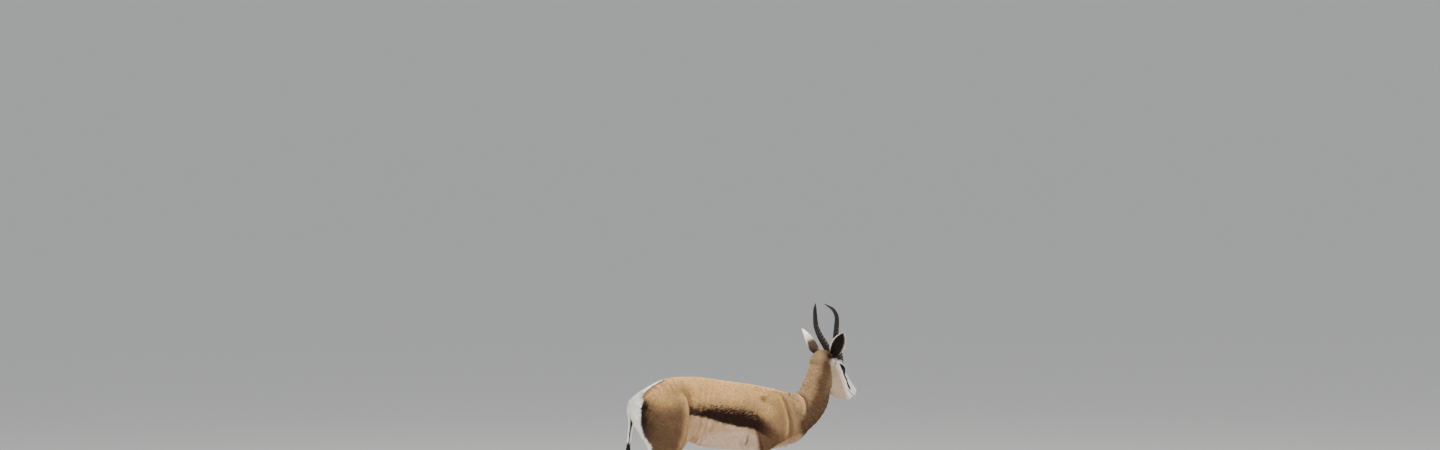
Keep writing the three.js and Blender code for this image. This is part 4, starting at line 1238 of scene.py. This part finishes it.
def grow_coat():
    root, normal, close, uv = spread_roots(corners, faces, normals, near, place, root_spacing)
    q = head_space(root)
    bare = (np.abs(q[:, 2] - mouth_line(q[:, 0])) < 1.6) & (q[:, 0] > 186)
    for s in SIDES:
        bare |= (almond(q, s) < 1.0) & (eye_distance(q, s) < EYE_RADIUS * 1.6)
        bare |= nostril_distance(q, s) < 1
    bare &= is_head(close) > 0.3
    keep = ~bare
    root, normal, close, uv, q = root[keep], normal[keep], close[keep], uv[keep], q[keep]
    flow = coat_flow(root, normal, close)
    head = is_head(close)
    low = 1 - smooth(root[:, 2], 330, 520)
    length = 20 - 10 * low
    length = length * (1 - head) + (8.5 - 4.0 * smooth(q[:, 0], 60, 220)) * head
    rump = smooth(-root[:, 0], 200, 300) * smooth(root[:, 2], 600, 700)
    rump = rump * smooth(60 - np.abs(root[:, 1]), 0, 10)
    length = length * (1 + 0.7 * rump) * RNG.uniform(0.75, 1.25, len(root))
    width = (2.3 - 0.8 * low) * (1 - head) + 1.2 * head
    depth = coat_depth(root, close)
    lift = depth * RNG.uniform(0.55, 1.0, len(root))
    colour = markings(root + flow * (length * 0.4)[:, None], RNG.normal(0, 1, len(root)))
    tufts("coat", root, normal, flow, length, width * RNG.uniform(0.8, 1.2, len(root)), lift, colour, uv)


# Lofted pieces


def loft(rings):
    """Corners and faces of a closed skin over rings, an array of rings, points and coordinates."""
    n, m = rings.shape[:2]
    index = np.arange(n * m).reshape(n, m)
    right = np.roll(index, -1, 1)
    quads = np.stack([index[:-1], right[:-1], right[1:], index[1:]], -1).reshape(-1, 4)
    return rings.reshape(-1, 3), quads.tolist() + [index[0][::-1].tolist(), index[-1].tolist()]


def oval_rings(rows, points):
    a = (np.arange(points) / points * 2 * np.pi)[None, :, None]
    side, up = rows[:, None, 6:9], rows[:, None, 9:12]
    wide, high = rows[:, 12][:, None, None], rows[:, 13][:, None, None]
    return rows[:, None, :3] + side * wide * np.cos(a) + up * high * np.sin(a)


def hair_roots(rows, share):
    """Roots at random turns round a lofted piece: their directions, places, normals and chart points."""
    row = rows[(share * (len(rows) - 1)).astype(int)]
    a = RNG.random(len(share)) * 2 * np.pi
    cos, sin = np.cos(a)[:, None], np.sin(a)[:, None]
    normal = unit(row[:, 6:9] * cos + row[:, 9:12] * sin)
    root = row[:, :3] + row[:, 6:9] * (row[:, 12:13] * cos) + row[:, 9:12] * (row[:, 13:14] * sin)
    uv = np.stack([0.02 + 0.96 * share, 0.02 + 0.96 * a / (2 * np.pi)], 1)
    return row[:, 3:6], root, normal, uv


# Horns: ridged rings at the front and sides of the lower part, smooth and hooked above

HORN_RINGS = 11
HORN_PITCH = 15
HORN_RIDGE = 2.7
HORN_STATIONS = [
    (5, -2, -34, 9),
    (5, -2, -20, 15),
    (0, 0, 0, 17),
    (-11, 9, 27, 15.8),
    (-26, 18, 60, 14.6),
    (-45, 32, 100, 13),
    (-55, 48, 144, 11),
    (-58, 52, 194, 8.8),
    (-68, 40, 223, 6.6),
    (-90, 10, 246, 1.2),
]


def make_horn(sign, name):
    root = in_head(HORN_ROOT[0], HORN_ROOT[1] * sign, HORN_ROOT[2])
    stations = []
    for forward, outward, upward, radius in HORN_STATIONS:
        p = YAW_TURN @ np.array([forward, outward * sign, upward], float) + root
        stations.append((*p, radius * 0.94, radius * 1.06))
    rows = sections(stations, YAW_TURN @ np.array([0.0, 1.0, 0.0]), steps=30)
    run = np.r_[0, np.cumsum(np.linalg.norm(np.diff(rows[:, :3], axis=0), axis=1))]
    rooted = 36
    ringed = HORN_RINGS * HORN_PITCH + rooted
    phase = ((run - rooted) / HORN_PITCH) % 1
    fade = 1 - (run - rooted) / (ringed - rooted) / 2
    saw = np.where(phase < 0.72, (phase / 0.72) ** 1.6, (1 - phase) / 0.28)
    on = (run > rooted) & (run < ringed)
    ridge = np.where(on, HORN_RIDGE * fade * (saw - 0.4), 0)
    rings = oval_rings(rows, 40)
    centre = rows[:, None, :3]
    around = unit(rings - centre)
    front = 0.64 - 0.36 * np.sin(np.arange(40) / 40 * 2 * np.pi)
    groove = 0.25 * np.sin(np.arange(40) / 40 * 2 * np.pi * 9)
    rings = rings + around * (ridge[:, None] * front[None] + groove[None] * (run > 12)[:, None])[:, :, None]
    verts, horn_faces = loft(rings)
    # lighter on the ring crests, darker in the grooves between them: painted shade in the grooves
    tone = np.clip(0.55 + 0.5 * saw * on, 0, 1)
    # paler ring crests at the front and sides: painted highlights
    pale_amount = (on * np.maximum(saw - 0.72, 0) * 3.2)[:, None, None] * smooth(front, 0.5, 0.76)[None, :, None]
    colour = linear(24, 19, 16) * tone[:, None, None] + linear(170, 152, 132) * pale_amount
    colour = (colour + np.zeros((1, 40, 1))).reshape(-1, 3)
    dress(new_object("horn_shell_" + name, verts, horn_faces, colour), HORN, "horn", "horn_" + name)
    grow_collar(name, rings, rows)


def grow_collar(name, rings, rows):
    """Short hair round the root of a horn, standing up against it."""
    low = rings[:75]
    inside = flesh(low.reshape(-1, 3)).reshape(low.shape[:2]) < 1.0
    edge = np.maximum(len(low) - 1 - np.argmax(inside[::-1], axis=0), 0)
    count = 420
    around = RNG.uniform(0, low.shape[1], count)
    k = around.astype(int)
    t = (around - k)[:, None]
    after = (k + 1) % low.shape[1]
    step = np.clip(edge[k] - RNG.integers(-1, 7, count), 0, len(low) - 1)
    root = low[step, k] * (1 - t) + low[step, after] * t
    out = unit(root - rows[step, :3])
    flow = unit(rows[step, 3:6] + out * 0.25)
    normal = unit(out - flow * np.sum(out * flow, 1)[:, None])
    uv = np.stack([0.02 + 0.9 * around / low.shape[1], 0.1 + 0.01 * step], 1)
    colour = mix(markings(root + out * 3), BROWN, RNG.uniform(0.1, 0.8, count))
    long = RNG.uniform(3, 11, count)
    tufts("horn_hair_" + name, root + out * 0.6, normal, flow, long, 1.2, 0.9, colour, uv, 0.6, 0.3)


# Ears


def ear_sheet(sign, share, around, inset):
    """Points of the ear's leaf: share along it, around from -1 to 1 across it, inset from its back."""
    axis, opening, across, root = ear_frame(sign)
    table = np.array(EAR_STATIONS, float)
    half, wrap, depth = (np.interp(share, table[:, 0], table[:, k]) for k in (1, 2, 3))
    turn = np.radians(wrap)
    radius = half / np.sin(np.minimum(turn, np.pi / 2))
    r = np.maximum(radius - inset, radius * 0.12)
    a = around * turn
    ruffle = 1.2 * np.sin(share * 9) * np.abs(around) ** 3
    up = (share * EAR_LENGTH)[..., None] * axis
    aside = (r * np.sin(a))[..., None] * across
    return root + up + aside + (radius - depth - (r + ruffle) * np.cos(a))[..., None] * opening


def ear_colour(share, around, inside):
    shape = np.broadcast(share, around).shape
    share, around = (np.broadcast_to(v, shape).ravel() for v in (share, around))
    # lower part of the ear's back darker: painted cast shadow
    back = mix(np.tile(CREAM, (len(share), 1)), BROWN * 0.5, (1 - smooth(share, 0.38, 0.5)) * 0.95)
    back = mix(back, WHITE, smooth(share, 0.45, 0.75) * 0.8)
    # dark inside of the ear: partly its own, partly painted shade in the cup
    cup = mix(np.tile(EAR_INSIDE, (len(share), 1)), BLACK, smooth(share, 0.5, 0.95) * 0.5)
    cup = mix(cup, CREAM * 0.5, smooth(-around, 0.5, 0.9) * (1 - smooth(share, 0.3, 0.7)) * 0.5)
    colour = cup if inside else back
    return mix(colour, WHITE * 0.8, smooth(np.abs(around), 0.88, 0.97) * smooth(share, 0.2, 0.45))


def make_ear(sign, name):
    share = np.r_[np.linspace(-0.13, 0.9, 56), np.linspace(0.915, 1, 12)][:, None]
    around = np.linspace(-1, 1, 31)[None, :]
    wall = np.interp(share, [-0.13, 0.12, 0.3, 0.9, 1], [30, 20, 2.4, 2.0, 0.9]) * np.ones_like(around)
    wall = np.minimum(2.4, wall)
    wall = np.where(share < 0.12, 14, wall) * (1 - 0.45 * np.abs(around) ** 4)
    outer = ear_sheet(sign, share + 0 * around, around + 0 * share, 0.4 + 0 * wall)
    inner = ear_sheet(sign, share + 0 * around, around * 0.985 + 0 * share, wall)
    rings = np.concatenate([outer, inner[:, ::-1]], 1)
    verts, ear_faces = loft(rings)
    colour = np.concatenate(
        [
            ear_colour(share, around, False).reshape(*outer.shape),
            ear_colour(share, around, True).reshape(*outer.shape)[:, ::-1],
        ],
        1,
    ).reshape(-1, 3)
    at_root = np.zeros(rings.shape[:2])
    at_root[:, : outer.shape[1]] = smooth(0.16 - share, 0, 0.12)
    colour = mix(colour, markings(verts), at_root.ravel())
    dress(new_object("ear_shell_" + name, verts, ear_faces, colour), SKIN, "coat", "ear_" + name)
    grow_ear_hair(sign, name)


def ear_slopes(sign, share, around, inset):
    here = ear_sheet(sign, share, around, inset)
    up = unit(ear_sheet(sign, share + 0.01, around, inset) - here)
    across = unit(ear_sheet(sign, share, around + 0.01, inset) - here)
    return here, up, across


def grow_ear_hair(sign, name):
    axis, opening, _, ear_root = ear_frame(sign)
    batches = []
    for inside, count, low, high in ((False, 6000, -0.1, 0.985), (True, 1500, 0.2, 0.97)):
        share = RNG.uniform(low, high, count)
        around = RNG.uniform(-0.98, 0.98, count)
        if inside:
            around = np.sign(around) * np.abs(around) ** 0.45
        here, up, across = ear_slopes(sign, share, around, np.where(inside, 2.4, 0.3) + 0 * share)
        normal = unit(np.cross(up, across))
        away = here - (ear_root + axis * (share * EAR_LENGTH)[:, None])
        turn = np.sign(np.sum(normal * away, 1)) * (-1 if inside else 1)
        normal = normal * turn[:, None]
        way = up if not inside else unit(up + across * -np.sign(around)[:, None] * 0.9)
        batches.append((here, normal, way, share, around, inside))
    share = np.repeat(np.linspace(0.12, 1.0, 260), 2)
    around = np.tile([-1.0, 1.0], 260)
    here, up, across = ear_slopes(sign, np.minimum(share, 0.995), around * 0.97, 1.0 + 0 * share)
    way = unit(up + across * around[:, None] * 0.25)
    batches.append((here, unit(opening + 0 * here), way, share, around, False))
    for k, (here, normal, way, share, around, inside) in enumerate(batches):
        long = np.where(inside, 13.0, 7.5) * RNG.uniform(0.7, 1.2, len(here))
        long = long * np.interp(share, [0, 0.9, 1], [1.2, 1, 0.55])
        colour = ear_colour(share, around, inside)
        if inside:
            colour = mix(colour, CREAM * 0.8, RNG.random(len(here)) * smooth(np.abs(around), 0.55, 0.95))
        else:
            colour = mix(colour, markings(here), smooth(0.16 - share, 0, 0.12))
        uv = np.stack([(share + 0.2) / 1.3, (around + 1.1) / 2.3], 1)
        tufts(f"ear_hair_{name}_{'abc'[k]}", here, normal, way, long, 1.1, 0.9, colour, uv, 0.4)


# Eyes: dark brown, with a wide pupil


def make_eye(sign, name):
    out, back, up = eye_axes(sign)
    turns, rows = 48, 32
    polar = np.linspace(0.001, np.pi - 0.001, rows)[:, None]
    a = (np.arange(turns) / turns * 2 * np.pi)[None, :]
    local = np.stack([np.sin(polar) * np.cos(a), np.sin(polar) * np.sin(a), np.cos(polar) + 0 * a], -1)
    radius = EYE_RADIUS * (1 + 0.035 * (1 - smooth(polar, 0.35, 0.8)))
    frame_of = np.stack([back, up, out])
    points = (local @ frame_of) * radius[..., None] + EYE * (1, sign, 1)
    points = points @ HEAD_TURN.T + HEAD_ORIGIN
    verts, eye_faces = loft(points)
    x, y = (local[..., 0] * EYE_RADIUS).ravel(), (local[..., 1] * EYE_RADIUS).ravel()
    facing = local[..., 2].ravel() > 0
    pupil = np.hypot(x / 6.2, y / 3.8)
    iris = np.hypot(x, y) / 9.5
    streak = 1 + 0.2 * np.sin(np.arctan2(y, x) * 34) * np.sin(np.arctan2(y, x) * 9)
    colour = linear(34, 20, 12) * streak[:, None]
    colour = mix(colour, linear(12, 8, 6), smooth(iris, 0.6, 0.95))
    colour = mix(colour, linear(5, 4, 4), 1 - smooth(pupil, 0.86, 1.1))
    colour = np.where(facing[:, None], colour, linear(24, 14, 9))
    dress(new_object("eyeball_" + name, verts, eye_faces, colour), EYE_GLOSS, "eye", "eye_" + name)


# Hooves: two claws a foot, flat below, with a sloping wall


def make_claw(foot, leg, sign, inner):
    low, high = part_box(f"hoof_{leg}_{foot}_{'inner' if inner else 'outer'}")
    low, high = np.array(low) * 1000 - SHIFT, np.array(high) * 1000 - SHIFT
    outward = -sign if inner else sign
    base = high[1] if outward < 0 else low[1]
    width, length, height = high[1] - low[1], high[0] - low[0], high[2] - low[2]
    t = np.linspace(0, 1, 18)
    steps = 40
    angle = np.arange(steps) / steps * 2 * np.pi
    x = 0.5 - 0.5 * np.cos(angle)
    y = np.where(angle < np.pi, np.sin(angle) ** 0.75 * (1 - 0.42 * x**2.2), 0)
    y = np.where(angle < np.pi, y, 0.02 * np.abs(np.sin(angle)))
    rings = []
    for k in t:
        top = 0.42 + 0.56 * x
        z = k * top * height
        slope_in = 0.83 * z / height * 0.62
        px = low[0] + length * (x * (1 - slope_in) + 0.02 * np.sin(k * 3))
        swell = 1 - 0.06 * np.abs(2 * k - 1) ** 3
        py = base + outward * width * y * swell * (1 - 0.1 * k)
        rings.append(np.stack([px, py, low[2] + z], 1))
    rings = np.array(rings)
    if outward < 0:
        rings = rings[:, ::-1]
    verts, claw_faces = loft(rings)
    share = np.repeat(t, steps)
    tone = 1 + 0.25 * np.sin(share * 34)
    # paler towards the sole, where the hoof wears
    pale_amount = smooth(0.12 - share, 0, 0.12) * 0.6
    colour = mix(linear(38, 33, 30) * tone[:, None], linear(84, 72, 60), pale_amount)
    name = f"claw_{leg}_{foot}_{'inner' if inner else 'outer'}"
    dress(new_object(name, verts, claw_faces, colour), HOOF, "hoof", name.replace("claw", "hoof"))


# Tail: a hair-covered dock with a black outer line, and a black tuft

TAIL = [
    (-330, 0, 706, 15, 13),
    (-353, 0, 699, 16, 13),
    (-371, -1, 668, 14, 12),
    (-379, -3, 620, 12, 11),
    (-387, -5, 570, 9.5, 9.5),
    (-394, -7, 520, 8, 8.5),
]


def make_tail():
    rows = sections(TAIL, steps=12)
    high = smooth(rows[:, 2], 580, 670)
    rows[:, 12:] += (4.5 * high - np.minimum(rows[:, 12] * 0.4, 3.2))[:, None]
    verts, tail_faces = loft(oval_rings(rows, 28))
    colour = tail_colour(verts, rows)
    dress(new_object("tail_dock", verts, tail_faces, colour), SKIN, "coat", "tail")
    share = RNG.random(5200) ** 0.8
    flow, root, normal, uv = hair_roots(rows, share)
    high = smooth(root[:, 2], 600, 680)
    long = (17 + 12 * high) * RNG.uniform(0.7, 1.2, len(share))
    lift = 2.6 + 4.0 * high * RNG.random(len(share))
    tufts("tail_hair", root, normal, flow, long, 1.7, lift, tail_colour(root, rows), uv)


def tail_colour(p, rows):
    nearest = nearest_row(rows, p)
    out = unit(p - rows[nearest, :3])
    aside = np.abs(out[:, 1]) * 0.97 - out[:, 0] * 0.24
    white = np.tile(WHITE, (len(p), 1))
    line = smooth(aside, 0.88, 0.96) * smooth(694 - p[:, 2], 0, 24)
    colour = mix(white, BLACK, line)
    return mix(colour, BLACK, smooth(545 - p[:, 2], 0, 18))


def make_tuft():
    low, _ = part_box("tail_tuft")
    bottom = low[2] * 1000 - SHIFT[2]
    x, y, top = TAIL[-1][:3]
    stations = [
        (x, y, top, 6, 7),
        (x - 2, y - 1, top - 30, 6.5, 7.5),
        (x - 3, y - 2, top - 62, 4.5, 5.5),
        (x - 3, y - 2, bottom + 18, 1, 1),
    ]
    rows = sections(stations, steps=8)
    verts, core_faces = loft(oval_rings(rows, 20))
    core = new_object("tuft_core", verts, core_faces, np.tile(BLACK, (len(verts), 1)))
    dress(core, SKIN, "coat", "tail_tuft")
    count = 1500
    flow, root, normal, uv = hair_roots(rows, RNG.random(count))
    room = root[:, 2] - bottom
    long = np.minimum(room * 0.96, 60 * RNG.uniform(0.6, 1.1, count))
    colour = np.tile(BLACK * 1.3, (count, 1))
    tufts("tuft_hair", root, normal, flow, long, 2.4, 2.0, colour, uv)


grow_coat()
for sign, side_name in ((1, "left"), (-1, "right")):
    make_horn(sign, side_name)
    make_ear(sign, side_name)
    make_eye(sign, side_name)
    for leg in ("foreleg", "hindleg"):
        for inner in (True, False):
            make_claw(side_name, leg, sign, inner)
make_tail()
make_tuft()


# Camera, lights and floor


def look_from(azimuth, elevation, target, distance, lens):
    camera = bpy.data.objects.new("camera", bpy.data.cameras.new("camera"))
    bpy.context.scene.collection.objects.link(camera)
    camera.data.lens = lens
    camera.data.sensor_width = 36
    camera.data.clip_end = 1000
    a, e = math.radians(azimuth), math.radians(elevation)
    forward = Vector((math.sin(a) * math.cos(e), math.cos(a) * math.cos(e), -math.sin(e)))
    camera.location = Vector(target) - forward * distance
    camera.rotation_euler = forward.to_track_quat("-Z", "Y").to_euler()
    bpy.context.scene.camera = camera


def area_light(name, place_at, size, power, colour=(1, 1, 1)):
    light = bpy.data.lights.new(name, "AREA")
    light.size = size
    light.energy = power
    light.color = colour
    obj = bpy.data.objects.new(name, light)
    bpy.context.scene.collection.objects.link(obj)
    obj.location = place_at
    obj.rotation_euler = (Vector((0, 0, 0.6)) - Vector(place_at)).to_track_quat("-Z", "Y").to_euler()


def make_studio():
    right = np.array([math.cos(math.radians(12)), -math.sin(math.radians(12)), 0])
    target = to_metres(right * 9 + (0, 0, 1459))
    look_from(12, 2.5, target, 34.4, 200)
    size = 400
    floor = bpy.data.objects.new("floor", bpy.data.meshes.new("floor"))
    square = [(-size, -size, 0), (size, -size, 0), (size, size, 0), (-size, size, 0)]
    floor.data.from_pydata(square, [], [(0, 1, 2, 3)])
    bpy.context.scene.collection.objects.link(floor)
    material = node_material("floor", 0.9, bump=0.05, bump_scale=3, painted=False)
    material.node_tree.nodes["Principled BSDF"].inputs["Base Color"].default_value = (0.72, 0.7, 0.67, 1)
    floor.data.materials.append(material)
    area_light("key", (-1.2, 0.9, 4.2), 2.2, 400, (1, 0.97, 0.92))
    area_light("fill", (-2.6, -4.2, 2.4), 3.0, 200, (1, 0.98, 0.95))
    area_light("side", (4.2, -1.8, 2.6), 2.4, 130, (1, 0.98, 0.95))
    world = bpy.data.worlds.new("studio")
    world.use_nodes = True
    world.node_tree.nodes["Background"].inputs["Color"].default_value = (0.83, 0.86, 0.9, 1)
    world.node_tree.nodes["Background"].inputs["Strength"].default_value = 0.66
    bpy.context.scene.world = world


make_studio()
